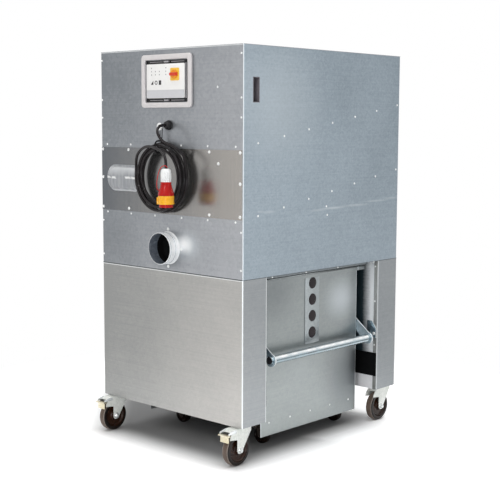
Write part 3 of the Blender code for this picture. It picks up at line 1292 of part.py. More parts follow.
def caster(name, x, y, braked, mats, parent):
    swivel = (x, y, 0)
    plate_top = WEB_HEIGHT - GAP
    plate_low = plate_top - CASTER_PLATE_T
    fork_race = (FORK_TOP + plate_low) / 2
    plate = prism("caster_plate_" + name,
                  rounded(x - CASTER_PLATE_X / 2, y - CASTER_PLATE_Y / 2, x + CASTER_PLATE_X / 2,
                          y + CASTER_PLATE_Y / 2, OVERRUN), "Z", plate_low, plate_top, mats["zinc"], parent)
    weld(plate, "race", lambda bm: add_prism(
        bm, circle(x, y, RACE_R, ROUND_STEPS), "Z", fork_race + GAP / 2, plate_low + SINK))

    axle_y, axle_z = y - TRAIL, WHEEL_R
    outer = LEG_INNER + LEG_T
    tip_y, tip_z = y - HORN_REACH, FORK_TOP - HORN_DROP
    brow_y, roof = y - PEDAL_PIVOT, FORK_TOP - FORK_ROOF
    side = [(y + FORK_HEAD, FORK_TOP), (y + FORK_HEAD, roof - 4 * FORK_ROOF)]
    side += arc(axle_y, axle_z, AXLE_BOSS, radians(-15), radians(-180), 5)
    side += [(axle_y - AXLE_BOSS, tip_z - 2 * FORK_ROOF), (axle_y - 2 * AXLE_BOSS, tip_z - FORK_ROOF),
             (tip_y, tip_z), (tip_y + FORK_ROOF, tip_z + 4 * FORK_ROOF),
             ((tip_y + brow_y) / 2, tip_z + 9 * FORK_ROOF), (brow_y, FORK_TOP)]
    fork = prism("caster_fork_" + name, side, "X", x - outer, x + outer, mats["zinc"], parent, origin=swivel)
    hollow = [(y + 3 * FORK_HEAD, 0), (y + 3 * FORK_HEAD, roof), (brow_y, roof),
              ((tip_y + brow_y) / 2 + FORK_ROOF, tip_z + 8 * FORK_ROOF),
              (tip_y - FORK_HEAD, tip_z + 8 * FORK_ROOF), (tip_y - FORK_HEAD, 0)]
    cut(fork, "hollow", lambda bm: add_prism(bm, hollow, "X", x - LEG_INNER, x + LEG_INNER))
    weld(fork, "axle", lambda bm: add_prism(
        bm, circle(axle_y, axle_z, AXLE_R, SMALL_STEPS), "X", x - outer - LEG_T, x + outer + LEG_T))
    weld(fork, "race", lambda bm: add_prism(
        bm, circle(x, y, RACE_R, ROUND_STEPS), "Z", FORK_TOP - SINK, fork_race - GAP / 2))

    tread = WHEEL_T / 2
    hub = WHEEL_HUB_T / 2
    web = WHEEL_WEB_T / 2
    rim = WHEEL_R * 0.78
    bore = AXLE_R + GAP
    profile = [(bore, -hub), (WHEEL_HUB_R, -hub), (WHEEL_HUB_R + OVERRUN, -web), (rim - OVERRUN, -web),
               (rim, -tread), (WHEEL_R * 0.93, -tread), (WHEEL_R, -tread * 0.72), (WHEEL_R, tread * 0.72),
               (WHEEL_R * 0.93, tread), (rim, tread), (rim - OVERRUN, web), (WHEEL_HUB_R + OVERRUN, web),
               (WHEEL_HUB_R, hub), (bore, hub)]
    turned("caster_wheel_" + name, profile, ROUND_STEPS, mats["rubber"], parent, "X", (x, axle_y, axle_z),
           origin=(x, axle_y, axle_z), ring=True)
    if braked:
        brake_pedal(name, x, y, mats["brake"], parent)


def brake_pedal(name, x, y, mat, parent):
    """Foot pedal of a braked caster: an arm under the fork's hood, a tread and a plate below it."""
    pin_y, pin_z = y - PEDAL_PIVOT, FORK_TOP - PEDAL_PIVOT_DROP
    tip_y, top = y - PEDAL_REACH, pin_z + PEDAL_PIN_R - PEDAL_SINK
    arm = [(pin_y + PEDAL_PIN_R, pin_z + PEDAL_PIN_R), (tip_y + PEDAL_T, top),
           (tip_y + PEDAL_T, top - PEDAL_T), (pin_y + PEDAL_PIN_R, pin_z + PEDAL_PIN_R - PEDAL_T)]
    obj = prism("brake_pedal_" + name, arm, "X", x - PEDAL_ARM, x + PEDAL_ARM, mat, parent,
                origin=(x, pin_y, pin_z))
    under = top - PEDAL_TREAD_T
    tread = rounded(tip_y, under, tip_y + PEDAL_TREAD, top, PEDAL_TREAD_T / 3)
    weld(obj, "tread", lambda bm: add_prism(bm, tread, "X", x - PEDAL_WIDE, x + PEDAL_WIDE))
    back = tip_y + PEDAL_LIP_SETBACK
    lip = rect(back, top - PEDAL_LIP_TALL, back + PEDAL_T, under + SINK)
    weld(obj, "lip", lambda bm: add_prism(bm, lip, "X", x - PEDAL_LIP, x + PEDAL_LIP))
    weld(obj, "pin", lambda bm: add_prism(
        bm, circle(pin_y, pin_z, PEDAL_PIN_R, 8), "X", x - LEG_INNER + GAP, x + LEG_INNER - GAP))


def build():
    clear_scene()
    mats = {
        "upper_sheet": finish("galvanised_upper", (156, 168, 178), 0.38, 0.85),
        "lower_sheet": finish("galvanised_lower", (178, 178, 176), 0.40, 0.80),
        "inner_sheet": finish("galvanised_inner", (140, 146, 150), 0.45, 0.80),
        "bin_sheet": finish("galvanised_bin", (158, 164, 167), 0.36, 0.85),
        "cover": finish("polished_cover", (126, 127, 130), 0.18, 0.60),
        "zinc": finish("zinc_plated", (214, 214, 206), 0.30, 0.90),
        "brake": finish("zinc_yellowed", (226, 214, 184), 0.35, 0.80),
        "motor": finish("motor_paint", (92, 98, 104), 0.45, 0.10),
        "light": finish("frame_plastic", (201, 195, 193), 0.45),
        "white": finish("white_plastic", (238, 238, 236), 0.40),
        "black": finish("black_plastic", (28, 28, 30), 0.50),
        "dark": finish("dark_steel", (52, 50, 49), 0.55, 0.40),
        "rubber": finish("caster_rubber", (40, 30, 27), 0.60),
        "seal": finish("seal_rubber", (34, 34, 34), 0.80),
        "strip": finish("strip_sheet", (190, 194, 194), 0.40, 0.60),
        "filter": finish("filter_paper", (226, 222, 208), 0.90),
        "clear": finish("clear_acrylic", (210, 216, 216), 0.08, 0.0, 0.35),
        "yellow": finish("yellow_plastic", (244, 183, 31), 0.40),
        "red": finish("red_plastic", (205, 44, 36), 0.40),
        "cord": finish("cord_rubber", (34, 32, 33), 0.55),
    }
    cabinet = empty("cabinet", (CENTRE_X, CENTRE_Y, 0))
    base_frame(mats["inner_sheet"], cabinet)
    lower_panels(mats, cabinet)
    bay_walls(mats["inner_sheet"], cabinet)
    chute_deck(mats["inner_sheet"], cabinet)
    bin_seal(mats["seal"], cabinet)
    side_panels(mats, cabinet)
    front_panel(mats["upper_sheet"], cabinet)
    filter_cover(mats, cabinet)
    inlet_spigot(mats["zinc"], cabinet)
    rear_panel(mats["upper_sheet"], cabinet)
    roof_panel(mats["upper_sheet"], cabinet)
    filter_decks(mats["inner_sheet"], cabinet)
    filter_cassette(mats["filter"], cabinet)
    fan_unit(mats, cabinet)
    controls(mats, cabinet)
    cord_group(mats, cabinet)
    bin_parts(mats, cabinet)
    bail(mats, cabinet)
    dolly(mats, cabinet)
    for name, x, y, braked in (("front_left", -CASTER_X, -CASTER_Y, True),
                               ("front_right", CASTER_X, -CASTER_Y, True),
                               ("rear_left", -CASTER_X, CASTER_Y, False),
                               ("rear_right", CASTER_X, CASTER_Y, False)):
        caster(name, x, y, braked, mats, cabinet)


build()
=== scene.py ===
import json
import math

import bmesh
import bpy
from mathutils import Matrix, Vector

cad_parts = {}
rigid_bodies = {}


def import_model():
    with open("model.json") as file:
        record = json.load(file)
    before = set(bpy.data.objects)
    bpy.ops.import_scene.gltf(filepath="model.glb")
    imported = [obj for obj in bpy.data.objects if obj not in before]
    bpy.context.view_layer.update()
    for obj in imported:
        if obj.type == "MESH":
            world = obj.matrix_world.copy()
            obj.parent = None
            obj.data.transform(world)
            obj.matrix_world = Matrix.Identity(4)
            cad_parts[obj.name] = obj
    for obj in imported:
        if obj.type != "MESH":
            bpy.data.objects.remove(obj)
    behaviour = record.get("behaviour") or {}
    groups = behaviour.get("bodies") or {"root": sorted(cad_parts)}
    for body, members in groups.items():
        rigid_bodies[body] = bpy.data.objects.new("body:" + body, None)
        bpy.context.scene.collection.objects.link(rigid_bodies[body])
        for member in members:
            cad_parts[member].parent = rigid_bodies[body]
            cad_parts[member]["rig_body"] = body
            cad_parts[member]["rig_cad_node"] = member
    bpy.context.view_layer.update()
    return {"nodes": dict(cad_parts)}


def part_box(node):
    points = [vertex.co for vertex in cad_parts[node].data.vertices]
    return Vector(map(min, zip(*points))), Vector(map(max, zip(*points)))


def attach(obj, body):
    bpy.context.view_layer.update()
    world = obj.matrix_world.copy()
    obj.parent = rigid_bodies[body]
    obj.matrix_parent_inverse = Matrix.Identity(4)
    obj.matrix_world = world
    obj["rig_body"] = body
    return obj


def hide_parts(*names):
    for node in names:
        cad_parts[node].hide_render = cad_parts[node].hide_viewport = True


print("loading the packed dust extractor")
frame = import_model()
nodes = frame["nodes"]
roofLow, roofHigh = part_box("roof_panel")
middleX, middleY = (roofLow.x + roofHigh.x) / 2, (roofLow.y + roofHigh.y) / 2

# faces and levels of the cabinet: x and y from its middle, z from the floor
side, frontFace, coverFace, bayFace = 0.400, -0.490, -0.4918, 0.3552
seamHeight, topHeight = 0.7105, 1.575


def at(x, y, z):
    # a place given from the middle of the cabinet, on the floor
    return Vector((middleX + x, middleY + y, z))


def outFrom(x, out, z):
    # a place given by its distance out from the front panel
    return at(x, frontFace - out, z)


def inRadians(angles):
    return [math.radians(angle) for angle in angles]


print("camera")
camera = {"place": (3.1003750, -3.3620300, 1.2833), "angles": (83.4229, -0.2305, 42.6826), "lens": 78.154}

bpy.ops.object.camera_add(location=camera["place"], rotation=inRadians(camera["angles"]))
bpy.context.object.name = "photoCamera"
bpy.context.object.data.lens = camera["lens"]
bpy.context.object.data.sensor_width = 36
bpy.context.object.data.clip_end = 60
bpy.context.scene.camera = bpy.context.object


# handling of objects, as by hand in the viewport

def pick(*pieces):
    bpy.ops.object.select_all(action="DESELECT")
    for piece in pieces:
        piece.select_set(True)
    bpy.context.view_layer.objects.active = pieces[0]


def applyPlace(piece):
    pick(piece)
    bpy.ops.object.transform_apply(location=True, rotation=True, scale=True)


def started(name):
    piece = bpy.context.object
    piece.name = name
    piece.data.name = name
    return piece


def editing(piece):
    pick(piece)
    bpy.ops.object.mode_set(mode="EDIT")
    bpy.ops.mesh.select_mode(type="FACE")


def selectFaces(piece, wanted):
    mesh = bmesh.from_edit_mesh(piece.data)
    for face in mesh.faces:
        face.select_set(bool(wanted(face.calc_center_median(), face.normal)))
    mesh.select_flush_mode()
    bmesh.update_edit_mesh(piece.data)


def doneEditing():
    bpy.ops.object.mode_set(mode="OBJECT")


def addModifier(piece, kind, **settings):
    pick(piece)
    step = piece.modifiers.new(kind.lower(), kind)
    for key, value in settings.items():
        setattr(step, key, value)
    bpy.ops.object.modifier_apply(modifier=step.name)


def smoothed(piece, angle=35):
    pick(piece)
    bpy.ops.object.shade_smooth_by_angle(angle=math.radians(angle))


def finishPiece(piece, material, body, replaced=()):
    piece.data.materials.clear()
    piece.data.materials.append(material)
    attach(piece, body)
    if replaced:
        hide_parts(*replaced)


def finishFaces(piece, material, wanted):
    # a second finish for some of the faces
    piece.data.materials.append(material)
    for face in piece.data.polygons:
        if wanted(face.center, face.normal):
            face.material_index = len(piece.data.materials) - 1


def copied(source, name, place=(0, 0, 0), turn=(0, 0, 0)):
    pick(source)
    bpy.ops.object.duplicate(linked=False)
    piece = started(name)
    piece.location = place
    piece.rotation_euler = inRadians(turn)
    applyPlace(piece)
    return piece


def spread(source, name, places, turn):
    pieces = [copied(source, name + "Part", place, turn) for place in places]
    pick(*pieces)
    if len(pieces) > 1:
        bpy.ops.object.join()
    return started(name)


def boxPiece(name, place, size):
    bpy.ops.object.select_all(action="DESELECT")
    bpy.ops.mesh.primitive_cube_add(size=1, location=place, scale=size)
    piece = started(name)
    applyPlace(piece)
    return piece


def headPiece(name, sides, radius, tall, steps):
    # the head of a screw or rivet, its upper face set in step by step
    bpy.ops.object.select_all(action="DESELECT")
    bpy.ops.mesh.primitive_cylinder_add(vertices=sides, radius=radius, depth=tall, location=(0, 0, tall / 2))
    piece = started(name)
    applyPlace(piece)
    editing(piece)
    selectFaces(piece, lambda centre, normal: normal.z > 0.9)
    for thickness, depth in steps:
        bpy.ops.mesh.inset(thickness=thickness, depth=depth)
    doneEditing()
    smoothed(piece)
    return piece


def turnedPiece(name, profile, steps, place=(0, 0, 0), turn=(0, 0, 0), angle=35):
    # a round piece drawn up ring by ring from a circle, profile is radius and height
    bpy.ops.object.select_all(action="DESELECT")
    radius, height = profile[0]
    bpy.ops.mesh.primitive_circle_add(
        vertices=steps, radius=radius, fill_type="NOTHING", location=(0, 0, height))
    piece = started(name)
    applyPlace(piece)
    editing(piece)
    bpy.ops.mesh.select_mode(type="EDGE")
    bpy.ops.mesh.select_all(action="SELECT")
    closed = profile[0] == profile[-1]
    if not closed:
        bpy.ops.mesh.edge_face_add()
    for nextRadius, nextHeight in profile[1:]:
        bpy.ops.mesh.extrude_edges_move(TRANSFORM_OT_translate={"value": (0, 0, nextHeight - height)})
        grow = nextRadius / radius
        bpy.ops.transform.resize(value=(grow, grow, 1), center_override=(0, 0, nextHeight))
        radius, height = nextRadius, nextHeight
    if not closed:
        bpy.ops.mesh.edge_face_add()
    bpy.ops.mesh.select_all(action="SELECT")
    bpy.ops.mesh.remove_doubles(threshold=0.000005)
    bpy.ops.mesh.normals_make_consistent(inside=False)
    doneEditing()
    piece.location = place
    piece.rotation_euler = inRadians(turn)
    applyPlace(piece)
    smoothed(piece, angle)
    return piece


def mirrored(profile):
    # a closed profile that is the same on both sides, from its lower half
    return profile + [(radius, -height) for radius, height in reversed(profile)] + profile[:1]


def cutPlate(name, outline, depth, bevel):
    # a plate cut to an outline, depth is the way to its other face
    bpy.ops.object.select_all(action="DESELECT")
    bpy.ops.mesh.primitive_circle_add(vertices=len(outline), radius=0.02, fill_type="NGON")
    piece = started(name)
    for vert, corner in zip(piece.data.vertices, outline):
        vert.co = corner
    editing(piece)
    bpy.ops.mesh.select_all(action="SELECT")
    bpy.ops.mesh.extrude_region_move(TRANSFORM_OT_translate={"value": depth})
    bpy.ops.mesh.select_all(action="SELECT")
    bpy.ops.mesh.normals_make_consistent(inside=False)
    doneEditing()
    addModifier(piece, "BEVEL", width=bevel, segments=2)
    smoothed(piece)
    return piece


def softCopy(node, name, bevel, material, segments=2):
    # the CAD piece again, merged and with its edges broken
    pick(nodes[node])
    bpy.ops.object.duplicate(linked=False)
    piece = started(name)
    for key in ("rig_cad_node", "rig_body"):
        if key in piece:
            del piece[key]
    piece.parent = None
    editing(piece)
    bpy.ops.mesh.select_all(action="SELECT")
    bpy.ops.mesh.remove_doubles(threshold=0.00001)
    bpy.ops.mesh.dissolve_limited(angle_limit=math.radians(0.6))
    doneEditing()
    addModifier(piece, "BEVEL", width=bevel, segments=segments, limit_method="ANGLE",
                angle_limit=math.radians(30))
    smoothed(piece, 40)
    finishPiece(piece, material, nodes[node]["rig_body"], [node])
    return piece


def drawnLine(name, points, closed):
    curve = bpy.data.curves.new(name, "CURVE")
    curve.dimensions = "3D"
    line = curve.splines.new("POLY")
    line.points.add(len(points) - 1)
    for spot, point in zip(line.points, points):
        spot.co = (*point, 1)
    line.use_cyclic_u = closed
    piece = bpy.data.objects.new(name, curve)
    bpy.context.scene.collection.objects.link(piece)
    return piece


def drawnTube(name, points, radius, resolution=5, closed=False):
    piece = drawnLine(name, points, closed)
    piece.data.bevel_depth = radius
    piece.data.bevel_resolution = resolution
    piece.data.use_fill_caps = not closed
    return piece


def smoothLine(points, steps):
    # a curve through all the points, without corners
    ends = [2 * points[0] - points[1]] + list(points) + [2 * points[-1] - points[-2]]
    line = []
    for a, b, c, d in zip(ends, ends[1:], ends[2:], ends[3:]):
        for i in range(steps):
            t = i / steps
            bend = (2 * a - 5 * b + 4 * c - d) * t ** 2 + (3 * b - a - 3 * c + d) * t ** 3
            line.append(0.5 * (2 * b + (c - a) * t + bend))
    return line + [points[-1]]


# materials

def linearColour(code):
    shares = [int(code[i:i + 2], 16) / 255 for i in (1, 3, 5)]
    return [v / 12.92 if v <= 0.04045 else ((v + 0.055) / 1.055) ** 2.4 for v in shares] + [1.0]


def setNode(node, settings):
    # a setting is a value, or the socket that gives it, or a node, which stands for its first output in use
    for key, value in settings.items():
        if isinstance(value, bpy.types.Node):
            value = next(output for output in value.outputs if output.enabled)
        if isinstance(value, bpy.types.NodeSocket):
            node.id_data.links.new(value, node.inputs[key])
        elif isinstance(key, int) or key in node.inputs.keys():
            node.inputs[key].default_value = value
        else:
            setattr(node, key, value)
    return node


def addNode(tree, kind, settings=()):
    return setNode(tree.nodes.new("ShaderNode" + kind), dict(settings))


def newMaterial(name, **settings):
    material = bpy.data.materials.new(name)
    material.use_nodes = True
    tree = material.node_tree
    shader = tree.nodes["Principled BSDF"]
    setNode(shader, {key.replace("_", " "): value for key, value in settings.items()})
    return material, tree, shader, addNode(tree, "TexCoord").outputs["Object"]


def setStops(bands, stops, tones):
    # bands of a few named tones, one above the other
    ramp = bands.color_ramp.elements
    for number, (stopAt, tone) in enumerate(stops):
        stop = ramp[number] if number < 2 else ramp.new(stopAt)
        stop.position = stopAt
        stop.color = linearColour(tones[tone])


sheetLook = {
    "metallic": 0.80, "spangle": 0.011, "spangleShare": 0.34, "grainShare": 0.45, "cloudShare": 0.55,
    "rollShare": 0.30, "rollScale": (3, 3, 200), "roughness": (0.30, 0.42), "wave": 0.30,
    "slope": (0, 0, 0, 0), "edges": "#e9edee", "edgeX": (0.3962, 0.3970), "edgeY": (0.4862, 0.4870),
    "lineFace": 0.4895, "sideTint": None, "tintX": (0.3984, 0.3990), "lines": (), "patches": (), "folds": ()}


def galvanisedSheet(name, **changes):
    # hot-dip galvanised steel sheet with a fine spangle, skin-passed: pale grey crystals in slightly
    # different tones, a soft sheen and faint roll marks, and painted light: an even slope of light and shade,
    # soft patches of painted reflection and shade, and painted highlights along the folds
    look = dict(sheetLook, **changes)
    material, tree, shader, place = newMaterial(name, Metallic=look["metallic"])
    crystals = addNode(tree, "TexVoronoi", {"Scale": 1 / look["spangle"], "Vector": place})
    grains = addNode(tree, "TexNoise", {"Scale": 1 / 0.004, "Detail": 2.0, "Vector": place})
    clouds = addNode(tree, "TexNoise", {"Scale": 1 / 0.45, "Detail": 4.0, "Roughness": 0.6, "Vector": place})
    rolled = addNode(tree, "Mapping", {"Scale": look["rollScale"], "Vector": place})
    rolls = addNode(tree, "TexNoise", {"Scale": 1.0, "Detail": 3.0, "Vector": rolled})
    share = look["cloudShare"]
    tone = addNode(tree, "Math", {"operation": "MULTIPLY_ADD", 0: clouds, 1: share, 2: 0.5 - share / 2})
    for source, key in (
            (crystals.outputs["Color"], "spangleShare"), (grains, "grainShare"), (rolls, "rollShare")):
        share = look[key]
        centred = addNode(tree, "Math", {"operation": "MULTIPLY_ADD", 0: source, 1: share, 2: -share / 2})
        tone = addNode(tree, "Math", {"operation": "ADD", 0: tone, 1: centred})
    x, y, z = addNode(tree, "SeparateXYZ", {0: place}).outputs
    # painted light and shade: the tone grows evenly lighter or darker along x, y and z
    slopeX, slopeY, slopeZ, level = look["slope"]
    slant = addNode(tree, "Math", {"operation": "MULTIPLY_ADD", 0: x, 1: slopeX, 2: level})
    for along, slope in ((y, slopeY), (z, slopeZ)):
        part = addNode(tree, "Math", {"operation": "MULTIPLY", 0: along, 1: slope})
        slant = addNode(tree, "Math", {"operation": "ADD", 0: slant, 1: part})
    tone = addNode(tree, "Math", {"operation": "ADD", "use_clamp": True, 0: tone, 1: slant})
    colour = addNode(tree, "Mix", {
        "data_type": "RGBA", 0: tone, 6: linearColour(look["dark"]), 7: linearColour(look["light"])})
    if look["edges"]:
        away = []
        for along, middle in ((x, middleX), (y, middleY)):
            part = addNode(tree, "Math", {"operation": "SUBTRACT", 0: along, 1: middle})
            away.append(addNode(tree, "Math", {"operation": "ABSOLUTE", 0: part}))
        awayX, awayY = away
    # painted shade: a cooler, darker tint on the columns' sideways faces
    if look["sideTint"]:                            # the columns' sideways faces look cooler than the front
        low, high = look["tintX"]
        outward = addNode(tree, "MapRange", {"From Min": low, "From Max": high, "Value": awayX})
        colour = addNode(tree, "Mix", {
            "data_type": "RGBA", "blend_type": "MULTIPLY", 0: outward, 6: colour,
            7: linearColour(look["sideTint"])})
    for low, high, code in look["lines"]:           # cut edges that catch the light, and the shade by them
        above = addNode(tree, "Math", {"operation": "GREATER_THAN", 0: z, 1: low})
        below = addNode(tree, "Math", {"operation": "LESS_THAN", 0: z, 1: high})
        inside = addNode(tree, "Math", {"operation": "MULTIPLY", 0: above, 1: below})
        ahead = addNode(tree, "Math", {"operation": "LESS_THAN", 0: y, 1: middleY - look["lineFace"]})
        inside = addNode(tree, "Math", {"operation": "MULTIPLY", 0: inside, 1: ahead})
        colour = addNode(tree, "Mix", {"data_type": "RGBA", 0: inside, 6: colour, 7: linearColour(code)})
    for middle, reach, code, share in look["patches"]:      # painted reflections and shade, and rubbed lines
        away = addNode(tree, "VectorMath", {"operation": "SUBTRACT", 0: place, 1: at(*middle)})
        away = addNode(tree, "VectorMath", {"operation": "DIVIDE", 0: away, 1: reach})
        away = addNode(tree, "VectorMath", {"operation": "LENGTH", 0: away})
        fading = addNode(tree, "MapRange", {
            "interpolation_type": "SMOOTHSTEP", "To Min": share, "To Max": 0.0, "Value": away})
        colour = addNode(tree, "Mix", {"data_type": "RGBA", 0: fading, 6: colour, 7: linearColour(code)})
    # painted highlights along the cabinet's upright corner folds and the listed folds
    if look["edges"]:
        besides = []
        for away, (low, high) in ((awayX, look["edgeX"]), (awayY, look["edgeY"])):
            besides.append(addNode(tree, "MapRange", {"From Min": low, "From Max": high, "Value": away}))
        paintedHighlight = addNode(tree, "Math", {"operation": "MULTIPLY", 0: besides[0], 1: besides[1]})
        for low, high, fromX, share in look["folds"]:       # painted highlights on the folds into the bay
            middle, reach = (low + high) / 2, (high - low) / 2
            nearFold = addNode(tree, "Math", {"operation": "COMPARE", 0: awayY, 1: middle, 2: reach})
            outFold = addNode(tree, "Math", {"operation": "GREATER_THAN", 0: x, 1: middleX + fromX})
            fold = addNode(tree, "Math", {"operation": "MULTIPLY", 0: nearFold, 1: outFold})
            fold = addNode(tree, "Math", {"operation": "MULTIPLY", 0: fold, 1: share})
            paintedHighlight = addNode(tree, "Math", {"operation": "MAXIMUM", 0: paintedHighlight, 1: fold})
        colour = addNode(tree, "Mix", {
            "data_type": "RGBA", 0: paintedHighlight, 6: colour, 7: linearColour(look["edges"])})
    low, high = look["roughness"]
    gloss = addNode(tree, "MapRange", {"To Min": low, "To Max": high, "Value": clouds})
    waves = addNode(tree, "TexNoise", {"Scale": 1 / 0.16, "Detail": 1.0, "Vector": place})
    relief = addNode(tree, "Bump", {"Strength": look["wave"], "Distance": 0.004, "Height": waves})
    setNode(shader, {"Base Color": colour, "Roughness": gloss, "Normal": relief})
    return material


def speckled(name, dark, light, size, share, bump, **settings):
    # a plain finish with a fine grain in two near tones, for mouldings, paint, rubber and plating
    material, tree, shader, place = newMaterial(name, **settings)
    grain = addNode(tree, "TexNoise", {"Scale": 1 / size, "Detail": 3.0, "Vector": place})
    patches = addNode(tree, "TexNoise", {"Scale": 1 / (size * 14), "Detail": 2.0, "Vector": place})
    both = addNode(tree, "Mix", {"data_type": "FLOAT", 0: share, 2: grain, 3: patches})
    wide = addNode(tree, "MapRange", {"From Min": 0.3, "From Max": 0.7, "Value": both})
    colour = addNode(tree, "Mix", {
        "data_type": "RGBA", 0: wide, 6: linearColour(dark), 7: linearColour(light)})
    relief = addNode(tree, "Bump", {"Strength": 0.4, "Distance": bump, "Height": grain})
    setNode(shader, {"Base Color": colour, "Normal": relief})
    return material


print("materials")
# painted reflection and painted shade: one brighter and one dimmer tone for every sheet,
# the brighter one also for the rubbed lines on the side sheet
sheenScuffTone, paintedShade = "#c4cbcf", "#6a6f72"
# rubbed lines on the side sheet: y, z, half length and strength
sideScuffs = (
    (-0.395, 0.962, 0.030, 0.35), (-0.345, 0.958, 0.055, 0.45), (-0.055, 0.949, 0.070, 0.35),
    (0.040, 0.953, 0.110, 0.60), (0.190, 0.957, 0.120, 0.40), (0.330, 0.968, 0.120, 0.35),
    (0.440, 0.975, 0.080, 0.30))
# painted light: lighter to the right and lower down, a painted reflection right of the inlet, painted shade
# under the inlet and at the lower left
upperSheet = galvanisedSheet(
    "galvanisedUpperSheet", dark="#7f8489", light="#adafb3", slope=(0.85, 0, -0.36, 0.41),
    spangleShare=0.28, grainShare=0.30, lines=((1.5705, 1.5738, "#d9dcdd"), (0.7118, 0.7142, "#6a6f71")),
    patches=(((-0.34, frontFace, 0.82), (0.30, 0.1, 0.20), paintedShade, 0.35),
             ((0.105, frontFace, 0.820), (0.100, 0.05, 0.075), sheenScuffTone, 0.8),
             ((0.090, frontFace, 0.822), (0.062, 0.05, 0.048), "#ffffff", 1.0),
             ((0.0, frontFace, 0.742), (0.14, 0.05, 0.035), paintedShade, 0.5)))
# painted light: darker to the rear and higher up, with a painted patch of light at the upper front; the thin
# bright lines are rubbed marks
sideSheet = galvanisedSheet(
    "galvanisedSideSheet", dark="#78848d", light="#a9b5be", slope=(0, -0.28, -0.24, 0.28),
    spangleShare=0.26, spangle=0.008, patches=[((side, -0.30, 1.36), (0.05, 0.35, 0.34), sheenScuffTone, 0.30)]
    + [((side, y, z), (0.05, reach, 0.0075), sheenScuffTone, share) for y, z, reach, share in sideScuffs])
# painted light: lighter to the right and to the front, painted shade on the sideways faces, painted
# highlights along the seam and the folds
lowerLook = {
    "dark": "#969796", "light": "#c6c3bf", "slope": (0.80, -0.32, -0.05, -0.335), "sideTint": "#dbe2e9",
    "spangleShare": 0.14, "grainShare": 0.25, "rollShare": 0.4, "rollScale": (2, 2, 260)}
lowerSheet = galvanisedSheet(
    "galvanisedLowerSheet", **lowerLook, lines=((0.7066, 0.7096, "#e2e4e4"),),
    folds=((0.3535, 0.3600, 0.3975, 1.0), (0.3535, 0.3600, 0.376, 0.45)))
lowerRearSheet = galvanisedSheet("galvanisedLowerRearSheet", **dict(
    lowerLook, slope=(0, -0.32, -0.05, -0.015), tintX=(0.3956, 0.3990),
    folds=((0.3535, 0.3600, 0.3975, 0.35),)))
# painted light: lighter lower down, soft patches of painted reflection and painted shade, a painted highlight
# along the upright edges of the bin's outer face
binSheet = galvanisedSheet(
    "galvanisedBinSheet", dark="#7e8487", light="#afb4b2", slope=(0, 0, -0.25, 0.08), edges="#dde2e3",
    roughness=(0.24, 0.36), spangleShare=0.14, grainShare=0.22, rollShare=0.2,
    folds=((0.3018, 0.3060, 0.3225, 1.0),),
    patches=(((0.325, -0.05, 0.31), (0.2, 0.20, 0.13), sheenScuffTone, 0.12),
             ((0.325, 0.20, 0.56), (0.2, 0.15, 0.12), sheenScuffTone, 0.75),
             ((0.325, 0.28, 0.22), (0.2, 0.26, 0.26), paintedShade, 0.95),
             ((0.325, -0.24, 0.63), (0.2, 0.22, 0.16), paintedShade, 0.4)))
# painted shadow: dark over most of the bay walls and filter decks, turning light within a few cm near the
# open side
shadedInnerSheet = galvanisedSheet(
    "paintedShadeInnerSheet", dark="#2a3940", light="#fbfdff", edges=None, metallic=0.25,
    slope=(24, 0, 0, -8.05), spangleShare=0.10, grainShare=0.12, cloudShare=0.2)
# painted light: the beam's sheet is near white, for the light that falls on it in the shaded bay
litBeamSheet = galvanisedSheet(
    "paintedLitBeamSheet", dark="#e6e5ea", light="#ffffff", edges=None, metallic=0.0, spangleShare=0.15,
    grainShare=0.2)
deckSheet = galvanisedSheet("shadedDeckSheet", dark="#43494c", light="#5e6568", edges=None, metallic=0.5)
# painted light: the polished cover grows lighter towards the right
coverSheet = galvanisedSheet(
    "polishedCoverSheet", dark="#5a6067", light="#a9a5a0", edges=None, spangleShare=0.05, grainShare=0.16,
    cloudShare=0.2, rollShare=0.22, rollScale=(220, 3, 3), metallic=0.90, roughness=(0.19, 0.27), wave=0.4,
    slope=(1.04, 0, 0, 0.03))
stripSheet = galvanisedSheet(
    "galvanisedStripSheet", dark="#92999c", light="#b2b8b9", edges=None, spangle=0.006)
skirtSheet = galvanisedSheet(
    "shadedSkirtSheet", dark="#6f767a", light="#959b9e", edges=None, metallic=0.3, spangleShare=0.1)
# painted light and shade: a near-white copy of the sheet for the spigot's outside and rim, a darker blue-grey
# copy for its inside and the flanks of its beads
inletLitSheet = galvanisedSheet(
    "paintedLightInletSheet", dark="#eceff1", light="#ffffff", edges=None, spangle=0.008, metallic=0.05,
    roughness=(0.20, 0.30))
inletShadedInside = galvanisedSheet(
    "paintedShadeInletInside", dark="#6f7a88", light="#b7c0cc", edges=None, spangle=0.012, spangleShare=0.6,
    metallic=0.55, roughness=(0.16, 0.26))

# zinc plating, blue passivated: bright, cold and a little uneven
zincPlating = speckled(
    "bluePassivatedZinc", "#c9cdcd", "#f4f6f5", 0.003, 0.6, 0.00003, Metallic=0.72, Roughness=0.22)
# pressed fork steel, zinc plated: pale and a little green and cloudy
forkZinc = speckled(
    "platedForkSteel", "#d2d6ce", "#fdfefa", 0.007, 0.6, 0.00004, Metallic=0.12, Roughness=0.28)
# the bail's arms, laser cut and plated, light and cold
armPlating = speckled(
    "platedArmSheet", "#7d929e", "#cddae1", 0.012, 0.7, 0.00003, Metallic=0.60, Roughness=0.24)
# cut edges of the bail's plates, lighter than their faces
cutZinc = speckled("platedCutEdge", "#dfe6e8", "#fafcfc", 0.003, 0.5, 0.00002, Metallic=0.35, Roughness=0.25)
# zinc plating, yellow passivated: the same with a straw tint
yellowPlating = speckled(
    "yellowPassivatedZinc", "#c9bf9f", "#f6efdc", 0.003, 0.6, 0.00003, Metallic=0.65, Roughness=0.24)
# sheet of the bail's stops, bright zinc plated, with cold blue-green glints
tubePlating = speckled(
    "drawnZincTube", "#587080", "#a9bcc6", 0.010, 0.7, 0.00003, Metallic=0.80, Roughness=0.20)
# pan-head screws and blind rivets, bright zinc
screwZinc = speckled(
    "brightScrewZinc", "#f0f2f1", "#fdfdfc", 0.002, 0.4, 0.00002, Metallic=0.25, Roughness=0.30)
